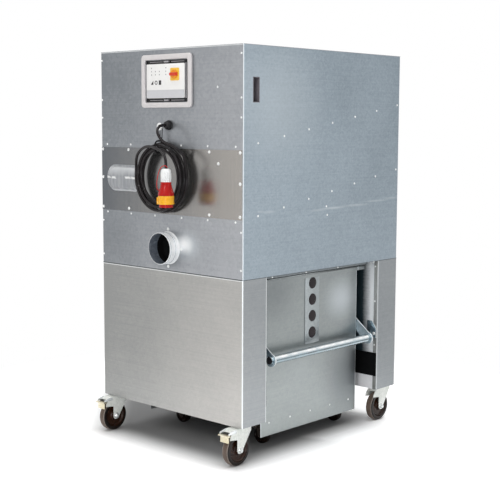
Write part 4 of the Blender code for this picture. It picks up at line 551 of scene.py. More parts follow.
# plastics, moulded with a fine matt spark texture: size, share and depth of its grain
moulded = (0.0012, 0.4, 0.00004)
framePlastic = speckled("mouldedLightAbs", "#d6d2d2", "#e0dcdc", *moulded, Roughness=0.42)
blackPlastic = speckled(
    "mouldedBlackPolyamide", "#151416", "#252427", *moulded, Roughness=0.30, Specular_IOR_Level=0.3)
clipPlastic = speckled("mouldedGreyPolyamide", "#9a989b", "#b4b2b5", *moulded, Roughness=0.30)
whitePlastic = speckled("mouldedWhitePolyamide", "#eceeed", "#fafbfb", *moulded, Roughness=0.30)
redPlastic = speckled(
    "mouldedRedPolyamide", "#a60f0d", "#bf1a17", *moulded, Roughness=0.18, Specular_IOR_Level=0.22)
knobRed = speckled("mouldedKnobRed", "#cf2a12", "#e04420", *moulded, Roughness=0.30)
yellowPlastic = speckled(
    "mouldedYellowPolyamide", "#f0a511", "#fabd2c", *moulded, Roughness=0.18, Specular_IOR_Level=0.35)
plateYellow = speckled("mouldedPlateYellow", "#f4bd2c", "#fbd054", *moulded, Roughness=0.32)
knobYellow = speckled("mouldedKnobYellow", "#ec8f14", "#f4a426", *moulded, Roughness=0.32)
gripPlastic = speckled("mouldedGripPolyamide", "#6b666b", "#7d787d", *moulded, Roughness=0.45)
# painted highlight: light strips on the box's snap rails beside the foil, for their glossy edges
ridgeHighlight = speckled("paintedHighlightRail", "#c6c4c7", "#dcdadd", *moulded, Roughness=0.2)
# polyester foil over a sheet front, printed, with a fine matt texture
foilWhite = speckled("printedFoilWhite", "#f3f2f0", "#fbfaf8", 0.0010, 0.3, 0.00002, Roughness=0.45)
foilGrey = speckled("printedFoilGrey", "#cdcdd0", "#d6d6d9", 0.0010, 0.3, 0.00002, Roughness=0.45)
foilInk = speckled("printedFoilInk", "#2c2b2d", "#3b3a3c", 0.0010, 0.3, 0.00001, Roughness=0.5)
lampInk = speckled("printedLampDots", "#8a8a8c", "#a2a2a4", 0.0010, 0.3, 0.00001, Roughness=0.4)
# chloroprene sheath, extruded: satin black with a thin dust film
cordRubber = speckled(
    "extrudedCordRubber", "#0c080a", "#1e181b", 0.003, 0.5, 0.00005, Roughness=0.20, Specular_IOR_Level=0.24)
# thermoplastic tyre, moulded: warm brown-black, the tread paler from scuffs and a painted sheen,
# the shoulders with a painted highlight
tyreRubber = speckled(
    "mouldedTyreRubber", "#0a0503", "#1f110a", 0.002, 0.6, 0.00008, Roughness=0.20, Specular_IOR_Level=0.28)
treadRubber = speckled(
    "scuffAndSheenTread", "#4d3e35", "#7d6d62", 0.003, 0.6, 0.00012, Roughness=0.40, Specular_IOR_Level=0.3)
shoulderHighlight = speckled("paintedHighlightShoulder", "#5d544d", "#958a82", 0.004, 0.6, 0.00005, Roughness=0.25)
# polyamide wheel centre, moulded, nearly black
wheelCore = speckled(
    "mouldedWheelCore", "#0f0704", "#3b2011", 0.009, 0.5, 0.00005, Roughness=0.26, Specular_IOR_Level=0.25)
# sponge seals, dull black, and the black strip at the bay's foot
spongeRubber = speckled(
    "spongeSealRubber", "#0c0c0d", "#161617", 0.0015, 0.3, 0.0002, Roughness=0.85, Specular_IOR_Level=0.08)
kickStripBlack = speckled(
    "blackKickStrip", "#050506", "#0e0f10", 0.002, 0.4, 0.00005, Roughness=0.6, Specular_IOR_Level=0.1)
# cellulose filter paper, folded
filterPaper = speckled("pleatedFilterPaper", "#d8d2c0", "#e8e3d4", 0.0015, 0.5, 0.0001, Roughness=0.9)
# baked enamel on a die-cast motor
motorEnamel = speckled(
    "bakedMotorEnamel", "#4f565c", "#5f676d", 0.002, 0.4, 0.00006, Metallic=0.1, Roughness=0.42)
# powder coat on the dolly, dark and matt
darkCoat = speckled(
    "darkPowderCoat", "#231d19", "#382f29", 0.0015, 0.4, 0.0001, Metallic=0.1, Roughness=0.6,
    Specular_IOR_Level=0.2)
# tinted acrylic discs on the sight strip
sightTint = speckled(
    "tintedSightAcrylic", "#1a1417", "#2e2529", 0.03, 0.6, 0.00002, Roughness=0.12, Specular_IOR_Level=0.2)

# clear acrylic dome, thermoformed, with painted highlights in its colour: bright rims, a bright gleam
# across the middle and upright streaks, which stand also for the white folds of the filter behind
windowLook = {
    "place": (-0.250, 1.068), "half": 0.053, "reach": 0.057, "thick": 0.0022, "low": 1.015, "high": 1.121,
    "sheen": {"wall": "#95989e", "rim": "#d8dade", "gleam": "#ffffff"}, "streak": "#e9edec",
    "bands": ((0.0, "rim"), (1.0, "wall"), (0.10, "wall"), (0.46, "wall"), (0.49, "gleam"), (0.53, "gleam"),
              (0.57, "wall"), (0.88, "rim"), (0.94, "wall")), "gleamMiddle": 1.0690, "gleamHalf": 0.0080}
clearAcrylic, tree, shader, place = newMaterial(
    "thermoformedAcrylic", Roughness=0.07, IOR=1.49, Transmission_Weight=0.18, Coat_Weight=0.6,
    Coat_Roughness=0.04)
height = addNode(tree, "SeparateXYZ", {0: place}).outputs[2]
lift = addNode(tree, "TexNoise", {"Scale": 1 / 0.045, "Detail": 2.0, "Vector": place})
waver = addNode(tree, "Math", {"operation": "MULTIPLY_ADD", 0: lift, 1: 0.010, 2: -0.005})
level = addNode(tree, "Math", {"operation": "ADD", 0: height, 1: waver})
tall = addNode(tree, "MapRange", {
    "From Min": windowLook["low"], "From Max": windowLook["high"], "Value": level})
bands = addNode(tree, "ValToRGB", {"Fac": tall})
setStops(bands, windowLook["bands"], windowLook["sheen"])
streaked = addNode(tree, "Mapping", {"Scale": (90, 90, 14), "Vector": place})
streaks = addNode(tree, "TexNoise", {"Scale": 1.0, "Detail": 2.0, "Vector": streaked})
weaker = addNode(tree, "MapRange", {"From Min": 0.35, "From Max": 0.65, "To Max": 0.22, "Value": streaks})
broken = addNode(tree, "TexNoise", {"Scale": 1 / 0.030, "Detail": 1.0, "Vector": place})
broken = addNode(tree, "MapRange", {"From Min": 0.46, "From Max": 0.54, "Value": broken})
# painted highlight: a broken bright gleam across the middle of the dome
gleam = addNode(tree, "Math", {"operation": "COMPARE", 0: level, 1: windowLook["gleamMiddle"],
                               2: windowLook["gleamHalf"]})
broken = addNode(tree, "Math", {"operation": "MULTIPLY", 0: broken, 1: gleam})
dulled = addNode(tree, "Mix", {
    "data_type": "RGBA", 0: broken, 6: bands, 7: linearColour(windowLook["sheen"]["wall"])})
tint = addNode(tree, "Mix", {
    "data_type": "RGBA", 0: weaker, 6: dulled, 7: linearColour(windowLook["streak"])})
ripple = addNode(tree, "TexNoise", {"Scale": 1 / 0.03, "Detail": 1.0, "Vector": place})
relief = addNode(tree, "Bump", {"Strength": 0.25, "Distance": 0.0010, "Height": ripple})
setNode(shader, {"Base Color": tint, "Normal": relief})

# the bail's tube, drawn and bright plated; painted reflections in its colour give a bright upper side,
# a dark line and cold glints below
tubeLook = {
    "height": 0.3819, "radius": 0.017, "sheen": {"bright": "#fbfdfd", "middle": "#a3b0b6", "dark": "#4e565a"},
    "bands": ((0.0, "middle"), (1.0, "middle"), (0.32, "middle"), (0.46, "dark"), (0.58, "middle"),
              (0.76, "bright"), (0.90, "bright")), "glint": "#9fb4bd"}
bailPlating, tree, shader, place = newMaterial("polishedBailTube", Metallic=0.85, Roughness=0.16)
height = addNode(tree, "SeparateXYZ", {0: place}).outputs[2]
tubeLow, tubeHigh = tubeLook["height"] - tubeLook["radius"], tubeLook["height"] + tubeLook["radius"]
around = addNode(tree, "MapRange", {"From Min": tubeLow, "From Max": tubeHigh, "Value": height})
bands = addNode(tree, "ValToRGB", {"Fac": around})
setStops(bands, tubeLook["bands"], tubeLook["sheen"])
glints = addNode(tree, "TexNoise", {"Scale": 1 / 0.05, "Detail": 2.0, "Vector": place})
strength = addNode(tree, "MapRange", {"From Min": 0.4, "From Max": 0.7, "To Max": 0.5, "Value": glints})
tinted = addNode(tree, "Mix", {
    "data_type": "RGBA", 0: strength, 6: bands, 7: linearColour(tubeLook["glint"])})
setNode(shader, {"Base Color": tinted})

corners = ("front_left", "front_right", "rear_left", "rear_right")
rollers = ("out_front", "out_rear", "in_front", "in_rear")
for material, names in (
        (upperSheet, ("front_panel", "roof_panel", "rear_panel")),
        (sideSheet, ("side_panel_right", "side_panel_left")),
        (lowerSheet, ("front_lower_panel",)),
        (lowerRearSheet, ("rear_lower_panel", "left_lower_panel")),
        (shadedInnerSheet, ("bay_wall_front", "bay_wall_rear", "filter_deck_lower", "filter_deck_upper")),
        (litBeamSheet, ("base_frame",)),
        (deckSheet, ("chute_deck",)),
        (coverSheet, ("filter_cover",)),
        (binSheet, ("dust_bin",)),
        (zincPlating, ("motor_stand", "impeller", *("caster_plate_" + corner for corner in corners))),
        (motorEnamel, ("motor",)),
        (filterPaper, ("filter_cassette",)),
        (blackPlastic, ("control_box",)),
        (gripPlastic, ("side_grip",)),
        (spongeRubber, ("bin_seal",)),
        (darkCoat, ("dolly_frame",))):
    for name in names:
        for holder in nodes[name].material_slots:
            holder.material = material


print("cord with its coil")
cord = {
    "diameter": 0.011,
    "gland": (0.008, 0.0226, 1.281),                # nose of the gland: x, distance out from the front, z
    "lead": ((0.0105, 0.0545, -0.0055), (0.0180, 0.0710, -0.0190), (0.0315, 0.0785, -0.0395),
             (0.0525, 0.0720, -0.0625), (0.0820, 0.0505, -0.0790), (0.0970, 0.0410, -0.0900),
             (0.1085, 0.0335, -0.1040), (0.1145, 0.0255, -0.1175)),
    "coilMiddle": (-0.006, 1.081), "coilRadius": 0.1365, "coilTall": 1.028, "coilStep": 0.0135,
    "layers": (0.022, 0.046), "startAngle": 20, "turnsIn": 2.25, "turnsClimb": 0.5, "turnsOut": 1.8333,
    "pointsPerTurn": 24,
    "tail": ((0.0950, 0.1040, -0.1220), (0.0660, 0.0940, -0.1000), (0.0240, 0.0860, -0.0880),
             (-0.0100, 0.0780, -0.0825), (-0.0430, 0.0710, -0.0825), (-0.0735, 0.0650, -0.0895),
             (-0.1030, 0.0595, -0.1060), (-0.1265, 0.0510, -0.1310)),
    "clamp": (0.1065, 0.110, 1.1193),
}


def coilLine():
    turns = cord["turnsIn"] + cord["turnsClimb"] + cord["turnsOut"]
    count = round(turns * cord["pointsPerTurn"])
    points = []
    for i in range(count + 1):
        turn = turns * i / count
        woundIn = min(turn, cord["turnsIn"])
        climb = min(max(turn - cord["turnsIn"], 0), cord["turnsClimb"]) / cord["turnsClimb"]
        woundOut = max(turn - cord["turnsIn"] - cord["turnsClimb"], 0)
        radius = cord["coilRadius"] - cord["coilStep"] * (woundIn - woundOut)
        back, front = cord["layers"]
        out = back + (front - back) * (1 - math.cos(math.pi * climb)) / 2
        angle = math.radians(cord["startAngle"]) - 2 * math.pi * turn
        x, z = cord["coilMiddle"]
        rise = cord["coilTall"] * radius * math.sin(angle)
        points.append(outFrom(x + radius * math.cos(angle), out, z + rise))
    return points


coil = coilLine()
nose, clamp = outFrom(*cord["gland"]), outFrom(*cord["clamp"])
leadPoints = [outFrom(x, out, cord["gland"][2] + drop) for x, out, drop in cord["lead"]]
tailPoints = [outFrom(x, out, cord["gland"][2] + drop) for x, out, drop in cord["tail"]]
route = [nose, nose + Vector((0, -cord["diameter"], 0))] + leadPoints + coil + tailPoints[::-1]
route += [clamp + Vector((0, 0, cord["diameter"])), clamp]
cordLine = smoothLine(route, 3)
cordLength = sum((b - a).length for a, b in zip(cordLine, cordLine[1:]))
print("cord length %.3f m" % cordLength)
powerCord = drawnTube("powerCord", cordLine, cord["diameter"] / 2)
finishPiece(powerCord, cordRubber, "cabinet", ["cord_lead", "cord_coil", "cord_tail"])


print("plug")
plug = {
    "place": (0.1065, 0.110, 1.119), "nut": (0.050, 0.0205), "ribs": (-0.047, -0.014), "steps": 48,
    "body": (0.052, 0.0205, 0.0300), "ring": (0.032, 0.0312, 0.0267), "tip": (0.012, 0.0264),
    "cup": (0.0236, 0.034), "pins": 5, "pinCircle": 0.0145, "latch": (0.0050, 0.016, 0.026), "latchTurn": 40}
plugAt = outFrom(*plug["place"])

nutLong, nutRadius = plug["nut"]
plugNut = turnedPiece("plugClampNut", [
    (0.0062, 0), (0.0120, -0.0006), (0.0168, -0.0040), (0.0192, -0.0100), (nutRadius - 0.0012, -0.016),
    (nutRadius - 0.0012, -nutLong + 0.004), (nutRadius - 0.0004, -nutLong + 0.003),
    (nutRadius - 0.0004, -nutLong)], plug["steps"], plugAt)


def onRib(centre, normal):
    # two of every three strips round the nut, between its collars
    low, high = plug["ribs"]
    angle = math.atan2(centre.y - plugAt.y, centre.x - plugAt.x)
    strip = int(round(angle / (2 * math.pi / plug["steps"]) - 0.5))
    return abs(normal.z) < 0.2 and low < centre.z - plugAt.z < high and strip % 3 != 0


editing(plugNut)
selectFaces(plugNut, onRib)
bpy.ops.mesh.extrude_region_shrink_fatten(TRANSFORM_OT_shrink_fatten={"value": 0.0010})
doneEditing()
finishPiece(plugNut, whitePlastic, "cabinet", ["plug_nut"])

bodyLong, bodyTop, bodyWide = plug["body"]
tipLong, tipRadius = plug["tip"]
top, neck = -nutLong - 0.0003, -nutLong - bodyLong
end = neck - plug["ring"][0] - tipLong
cupRadius, cupDeep = plug["cup"]
plugBody = turnedPiece("plugBody", [
    (bodyTop * 0.98, top), (bodyTop, top - 0.001), (bodyTop, top - 0.006), (bodyTop * 0.95, top - 0.007),
    (bodyTop * 0.95, top - 0.009), (bodyTop * 1.02, top - 0.010), (bodyTop * 1.08, top - bodyLong * 0.35),
    (bodyWide * 0.93, top - bodyLong * 0.70), (bodyWide * 0.985, top - bodyLong * 0.76),
    (bodyWide, top - bodyLong * 0.80), (bodyWide, neck + 0.0006), (tipRadius, neck + 0.0003),
    (tipRadius, end + 0.0010), (tipRadius - 0.001, end), (cupRadius + 0.0006, end),
    (cupRadius, end + 0.0008), (cupRadius, end + cupDeep)], 64, plugAt)
for i in range(plug["pins"]):
    angle = 2 * math.pi * i / plug["pins"] + math.pi / 2
    pinAt = plugAt + Vector((plug["pinCircle"] * math.cos(angle), plug["pinCircle"] * math.sin(angle), 0))
    pin = turnedPiece("plugPin%d" % (i + 1), [
        (0.0027, end + cupDeep + 0.0004), (0.0027, end + 0.0055), (0.0020, end + 0.0042)], 16, pinAt)
    finishPiece(pin, zincPlating, "cabinet")
finishPiece(plugBody, redPlastic, "cabinet", ["plug_body"])

ringLong, ringOuter, ringInner = plug["ring"]
ringEnd = neck - ringLong
plugRing = turnedPiece("plugCollar", [
    (ringInner, neck), (ringOuter - 0.0012, neck), (ringOuter, neck - 0.0012), (ringOuter, neck - 0.008),
    (ringOuter - 0.0010, neck - 0.0088), (ringOuter - 0.0010, ringEnd + 0.0088), (ringOuter, ringEnd + 0.008),
    (ringOuter, ringEnd + 0.0012), (ringOuter - 0.0012, ringEnd), (ringInner, ringEnd), (ringInner, neck)],
    64, plugAt)
finishPiece(plugRing, yellowPlastic, "cabinet", ["plug_ring"])
latch = boxPiece("plugLatch", (-ringOuter - 0.0010, 0, ringEnd + 0.013), plug["latch"])
editing(latch)
selectFaces(latch, lambda centre, normal: normal.x < -0.9)
bpy.ops.mesh.inset(thickness=0.003, depth=-0.0008)
doneEditing()
addModifier(latch, "BEVEL", width=0.0009, segments=2)
latch.location = plugAt
latch.rotation_euler = (0, 0, math.radians(plug["latchTurn"]))      # it looks to the left of the photograph
applyPlace(latch)
smoothed(latch)
finishPiece(latch, yellowPlastic, "cabinet")


print("screws and rivets")
# sides, radius and height of a head, and how its upper face is set in
heads = {
    "screw": (12, 0.0060, 0.0018, ((0.0014, 0.0009), (0.0012, 0.0), (0.0002, -0.0011))),
    "rivet": (10, 0.0042, 0.0010, ((0.0015, 0.0007), (0.0011, 0.0001), (0.0002, -0.0006)))}
screw = headPiece("panScrew", *heads["screw"])
rivet = headPiece("blindRivet", *heads["rivet"])
facing = {"front": (90, 0, 0), "rear": (-90, 0, 0), "right": (0, 90, 0), "left": (0, -90, 0), "up": (0, 0, 0)}
ends = (("Front", -1), ("Rear", 1))                 # of the cabinet, along y

# lines of rivets along the two sloping decks: y of each, then height at a y and slope
deckLines = [(y, 1.267 + 0.1735 * (y + 0.116)) for y in (-0.409, -0.262, -0.116, 0.030, 0.177, 0.324, 0.471)]
deckLines += [(y, 1.021 + 0.17 * (y - 0.031)) for y in (-0.408, -0.262, -0.114, 0.031, 0.179, 0.323, 0.470)]
frontRows = ((1.203, (-0.363, -0.218, -0.074, 0.074, 0.218, 0.363)),
             (0.925, (-0.363, -0.218, -0.076, 0.076, 0.218, 0.363)))
frontSpots = [(x, z) for z, spots in frontRows for x in spots]
frontSpots += [(x, z) for x in (0.391, -0.391) for z in (1.541, 1.382, 1.310, 0.889, 0.748)]
frontSpots += [(0.270, 1.422)]
coverSpots = [(x, z) for z in (1.182, 0.946) for x in (-0.388, -0.229, 0.0, 0.229, 0.388) if x or z > 1.1]
coverSpots += [(-0.388, 1.068), (0.388, 1.068), (0.277, 1.139)]
rearSpots = [(x, z) for z in (0.748, 0.930, 1.203, 1.541) for x in (-0.388, -0.230, 0.0, 0.230, 0.388)]
bayRivets = {"x": 0.386, "y": 0.3550, "heights": (0.685, 0.535, 0.345)}
inlet = {"place": (0, -0.538, 0.803), "radius": 0.062, "wall": 0.0015, "screwCircle": 0.0735, "mouth": 0.0465}
fixings = (
    ("frontRivets", rivet, "front", "cabinet", [(x, frontFace, z) for x, z in frontSpots]),
    ("coverScrews", screw, "front", "cabinet", [(x, coverFace, z) for x, z in coverSpots]),
    ("sideRivetsRight", rivet, "right", "cabinet",
     [(side, y, z) for y, z in deckLines + [(-0.003, 0.962), (0.003, 0.927)]]),
    ("sideRivetsLeft", rivet, "left", "cabinet", [(-side, y, z) for y, z in deckLines]),
    ("rearRivets", rivet, "rear", "cabinet", [(x, -frontFace, z) for x, z in rearSpots]),
    ("binRivets", rivet, "right", "bin", [(0.325, y, 0.113) for y in (-0.256, -0.128, 0.0, 0.128, 0.256)]),
    ("bayRivetsRear", rivet, "front", "cabinet",
     [(bayRivets["x"], bayRivets["y"], z) for z in bayRivets["heights"]]),
    ("bayRivetsFront", rivet, "rear", "cabinet",
     [(bayRivets["x"], -bayRivets["y"], z) for z in bayRivets["heights"]]),
    ("roofRivets", rivet, "up", "cabinet",
     [(x, way * 0.482, topHeight) for x in (-0.300, -0.070, 0.165, 0.300) for way in (-1, 1)]),
    ("inletScrews", screw, "front", "cabinet",
     [(inlet["screwCircle"] * math.cos(a), frontFace, inlet["place"][2] + inlet["screwCircle"] * math.sin(a))
      for a in (0, math.pi / 2, math.pi, 1.5 * math.pi)]),
)
for name, source, way, body, places in fixings:
    group = spread(source, name, [at(*place) for place in places], facing[way])
    finishPiece(group, screwZinc, body)
for source in (screw, rivet):
    bpy.data.objects.remove(source)


print("controls")
panel = {
    "height": 1.450, "face": -0.5023, "half": (0.107, 0.0655), "strip": 0.0305,
    "dots": ((-0.0776, 1.5000), (-0.0776, 1.4870), (-0.0776, 1.4745), (-0.0553, 1.4870), (-0.0553, 1.4745),
             (-0.0331, 1.4870), (-0.0331, 1.4745), (0.0036, 1.5000), (0.0036, 1.4870), (0.0036, 1.4745)),
    "signs": ((-0.0742, 1.4442), (-0.0520, 1.4442), (-0.0297, 1.4442)),
    "ramp": ((-0.0085, -0.0075), (0.0065, -0.0075), (0.0065, 0.0080)),
    "ridges": (-0.1128, 0.1128), "ridgeFace": -0.4985, "hinges": (1.5235, 1.3765), "hingeFace": -0.4908,
    "ledge": 0.060, "ledgeFace": -0.4906}
softCopy("control_frame", "panelFrame", 0.0030, framePlastic, 3)
softCopy("switch_plate", "switchPlate", 0.0009, plateYellow)
switch = {"place": (0.0545, 1.4745), "back": -0.5059, "disc": 0.0170, "bar": (0.038, 0.0150), "rise": 0.013}
switchX, switchZ = switch["place"]
knob = turnedPiece("switchDisc", [
    (switch["disc"], 0), (switch["disc"], 0.0040), (switch["disc"] - 0.0016, 0.0052), (0.0150, 0.0056),
    (0.0142, 0.0048)], 48, at(switchX, switch["back"], switchZ), facing["front"])
finishPiece(knob, knobYellow, "switch", ["main_switch"])
barLong, barTall = switch["bar"]
bar = boxPiece("switchBar", at(switchX, switch["back"] - switch["rise"] / 2, switchZ),
               (barLong, switch["rise"], barTall))
editing(bar)
selectFaces(bar, lambda centre, normal: normal.y < -0.9)
bpy.ops.transform.resize(value=(0.86, 1, 0.62),
                         center_override=at(switchX, switch["back"] - switch["rise"], switchZ))
bpy.ops.mesh.inset(thickness=0.0022, depth=-0.0008)
doneEditing()
addModifier(bar, "BEVEL", width=0.0012, segments=3)
smoothed(bar)
finishPiece(bar, knobRed, "switch")
softCopy("control_face", "panelFoil", 0.0007, foilWhite)


def plateOn(name, centre, size, depth, bevel, material):
    # a thin plate at the controls: centre is x, z and the y that it lies on, size its length and height
    x, z, face = centre
    piece = boxPiece(name, at(x, face - depth / 2, z), (size[0], depth, size[1]))
    editing(piece)
    selectFaces(piece, lambda middle, normal: normal.y < -0.9)
    bpy.ops.mesh.inset(thickness=bevel, depth=0)
    doneEditing()
    addModifier(piece, "BEVEL", width=bevel / 2, segments=2)
    smoothed(piece)
    finishPiece(piece, material, "cabinet")


halfX, halfZ = panel["half"]
plateOn("panelStrip", (0, panel["height"] - halfZ + panel["strip"] / 2 + 0.001, panel["face"]),
        (2 * halfX - 0.003, panel["strip"]), 0.0006, 0.0005, foilGrey)
dot = turnedPiece("panelDot", [(0.0023, 0), (0.0023, 0.0004), (0.0014, 0.0007)], 16)
dots = spread(dot, "panelDots", [at(x, panel["face"], z) for x, z in panel["dots"]], facing["front"])
finishPiece(dots, lampInk, "cabinet")
bpy.data.objects.remove(dot)
(rampX, rampZ), (loopX, loopZ), (blockX, blockZ) = panel["signs"]
ramp = cutPlate("signRamp", [at(rampX + x, panel["face"], rampZ + z) for x, z in panel["ramp"]],
                (0, -0.0004, 0), 0.0001)
finishPiece(ramp, foilInk, "cabinet")
loop = turnedPiece("signLoop", [(0.0050, 0), (0.0082, 0), (0.0082, 0.0004), (0.0050, 0.0004), (0.0050, 0)],
                   8, at(loopX, panel["face"], loopZ), (90, 22.5, 0))
finishPiece(loop, foilInk, "cabinet")
plateOn("signBlock", (blockX, blockZ, panel["face"]), (0.0135, 0.0170), 0.0004, 0.0012, foilInk)
for i, x in enumerate(panel["ridges"]):             # painted highlights on the box's ridges beside the foil
    plateOn("boxRidge%d" % (i + 1), (x, panel["height"], panel["ridgeFace"]), (0.0018, 0.132), 0.0028, 0.0004,
            ridgeHighlight)
for i, z in enumerate(panel["hinges"]):             # snap hinges above and below the foil
    plateOn("boxHinge%d" % (i + 1), (0.0, z, panel["hingeFace"]), (0.026, 0.0060), 0.0080, 0.0010,
            clipPlastic)
    for letter, way in (("a", -1), ("b", 1)):
        plateOn("boxLedge%d%s" % (i + 1, letter), (way * panel["ledge"], z, panel["ledgeFace"]),
                (0.070, 0.0022), 0.0040, 0.0004, clipPlastic)


print("gland, hook and straps")
gland = {"place": (0.008, 0.0003, 1.281), "profile": ((0.0190, 0), (0.0190, 0.0050), (0.0180, 0.0060))}
glandAt = outFrom(*gland["place"])
flange = turnedPiece("glandFlange", gland["profile"], 48, glandAt, facing["front"])
finishPiece(flange, blackPlastic, "cabinet", ["cord_gland"])
hexNut = turnedPiece("glandHexNut", [(0.0172, 0.0060), (0.0180, 0.0070), (0.0180, 0.0130), (0.0166, 0.0145)],
                     6, glandAt, (90, 15, 0), 20)
finishPiece(hexNut, blackPlastic, "cabinet")
dome = turnedPiece("glandDome", [
    (0.0150, 0.0140), (0.0148, 0.0165), (0.0130, 0.0195), (0.0098, 0.0215), (0.0062, 0.0222),
    (0.0060, 0.0200)], 40, glandAt, facing["front"])
finishPiece(dome, blackPlastic, "cabinet")
softCopy("cord_hook", "cordHook", 0.0012, whitePlastic, 3)

tie = {"x": -0.014, "outs": (0.0125, 0.0560), "heights": (1.1745, 1.2205), "corner": 0.018, "width": 0.007,
       "thick": 0.0012}
(backOut, frontOut), (lowZ, highZ) = tie["outs"], tie["heights"]
tiePoints = []
for out, z, first in (
        (frontOut, highZ, 0), (backOut, highZ, 90), (backOut, lowZ, 180), (frontOut, lowZ, 270)):
    middleOut = out - tie["corner"] if out == frontOut else out + tie["corner"]
    middleZ = z - tie["corner"] if z == highZ else z + tie["corner"]
    for step in range(5):
        angle = math.radians(first + step * 22.5)
        tiePoints.append(outFrom(tie["x"], middleOut + tie["corner"] * math.cos(angle),
                                 middleZ + tie["corner"] * math.sin(angle)))
cordTie = drawnLine("cordTie", tiePoints, True)     # a band bent round the coil
cordTie.data.extrude = tie["width"] / 2
cordTie.data.twist_mode = "Z_UP"
pick(cordTie)
bpy.ops.object.convert(target="MESH")
cordTie = started("cordTie")
addModifier(cordTie, "SOLIDIFY", thickness=tie["thick"], offset=0)
addModifier(cordTie, "BEVEL", width=tie["thick"] * 0.3, segments=2, limit_method="ANGLE")
smoothed(cordTie)
finishPiece(cordTie, blackPlastic, "cabinet")

hang = {"x": -0.018, "out": 0.019, "wide": (0.0070, 0.0049), "heights": (1.2738, 1.2275), "bend": 0.0075}
hangPoints = []
for step in range(0, 360, 20):                      # a narrow loop, wider at its upper end
    angle = math.radians(step)
    half = 0 if math.sin(angle) > 0 else 1
    hangPoints.append(outFrom(hang["x"] + hang["wide"][half] * math.cos(angle), hang["out"],
                              hang["heights"][half] + hang["bend"] * math.sin(angle)))
hanger = drawnTube("cordHanger", hangPoints, 0.0018, 3, True)
finishPiece(hanger, blackPlastic, "cabinet")
tether = {"radius": 0.0015, "points": (
    (0.0920, 0.1330, 1.0360), (0.0870, 0.1370, 1.0450), (0.0840, 0.1360, 1.0640), (0.0845, 0.1330, 1.0850),
    (0.0875, 0.1290, 1.1050), (0.0930, 0.1240, 1.1210), (0.1010, 0.1190, 1.1290), (0.1100, 0.1150, 1.1290),
    (0.1170, 0.1120, 1.1230))}
tetherPoints = smoothLine([outFrom(*point) for point in tether["points"]], 5)
tetherLine = drawnTube("capTether", tetherPoints, tether["radius"], 3)
finishPiece(tetherLine, redPlastic, "cabinet")


print("inspection window")
bpy.ops.object.select_all(action="DESELECT")
bpy.ops.mesh.primitive_circle_add(vertices=64, radius=windowLook["half"], fill_type="NGON")
pane = started("windowDome")
editing(pane)
mesh = bmesh.from_edit_mesh(pane.data)
for vert in mesh.verts:                             # the circle is drawn apart into a slot shape
    vert.co.x += windowLook["reach"] * (1 if vert.co.x > 0 else -1)
bmesh.update_edit_mesh(pane.data)
bpy.ops.mesh.select_all(action="SELECT")
for thickness, depth in (
        (0.0090, 0.0), (0.0016, 0.0020), (0.0016, 0.0046), (0.0026, 0.0034), (0.0044, 0.0020),
        (0.0070, 0.0010), (0.0100, 0.0004)):
    bpy.ops.mesh.inset(thickness=thickness, depth=depth)
doneEditing()
pane.location = at(windowLook["place"][0], coverFace - 0.0006, windowLook["place"][1])
pane.rotation_euler = (math.pi / 2, 0, 0)
applyPlace(pane)
addModifier(pane, "SOLIDIFY", thickness=windowLook["thick"], offset=1)
smoothed(pane, 60)
finishPiece(pane, clearAcrylic, "cabinet", ["inspection_window"])


print("hose inlet")
outer, inner = inlet["radius"], inlet["radius"] - inlet["wall"]
mouth = inlet["mouth"]                              # length of the bright spigot in front of the panel
inletAt = at(*inlet["place"])
spigot = turnedPiece("inletSpigot", [
    (inner, 0.0004), (inner + 0.0004, 0), (outer, 0), (outer, -0.0050), (outer + 0.0012, -0.0056),
    (outer + 0.0020, -0.0072), (outer + 0.0020, -0.0084), (outer + 0.0012, -0.0100), (outer, -0.0106),
    (outer, -0.0290), (outer + 0.0008, -0.0296), (outer + 0.0008, -0.0306), (outer, -0.0312), (outer, -mouth),
    (inner, -mouth), (inner, 0.0004)], 96, inletAt, facing["front"])
finishPiece(spigot, inletLitSheet, "cabinet", ["inlet_spigot"])


def shadedFace(centre, normal):
    # painted shade: the inside, and the flanks of the beads
    reach = math.hypot(centre.x - inletAt.x, centre.z - inletAt.z)
    return reach < outer - 0.0004 and abs(normal.y) < 0.5 or reach > outer + 0.0002 and abs(normal.y) > 0.45


finishFaces(spigot, inletShadedInside, shadedFace)
sleeve = turnedPiece("inletSleeve", [
    (inner - 0.0012, -mouth + 0.0030), (inner - 0.0002, -mouth + 0.0030), (inner - 0.0002, -0.0780),
    (inner - 0.0012, -0.0780), (inner - 0.0012, -mouth + 0.0030)], 96, inletAt, facing["front"])
finishPiece(sleeve, spongeRubber, "cabinet")
blind = turnedPiece("inletBaffle", [
    (inner - 0.0014, -0.0740), (inner - 0.0014, -0.0750), (inner * 0.4, -0.0775)], 64, inletAt,
    facing["front"])
finishPiece(blind, spongeRubber, "cabinet")
collar = turnedPiece("inletCollar", [
    (outer + 0.0001, 0.0004), (outer + 0.0001, 0.0042), (outer + 0.0010, 0.0044), (outer + 0.0022, 0.0030),
    (outer + 0.0030, 0.0012), (outer + 0.0034, 0.0002), (outer + 0.0001, 0.0004)], 96,
    at(0, frontFace, inlet["place"][2]), facing["front"])
finishPiece(collar, inletLitSheet, "cabinet")


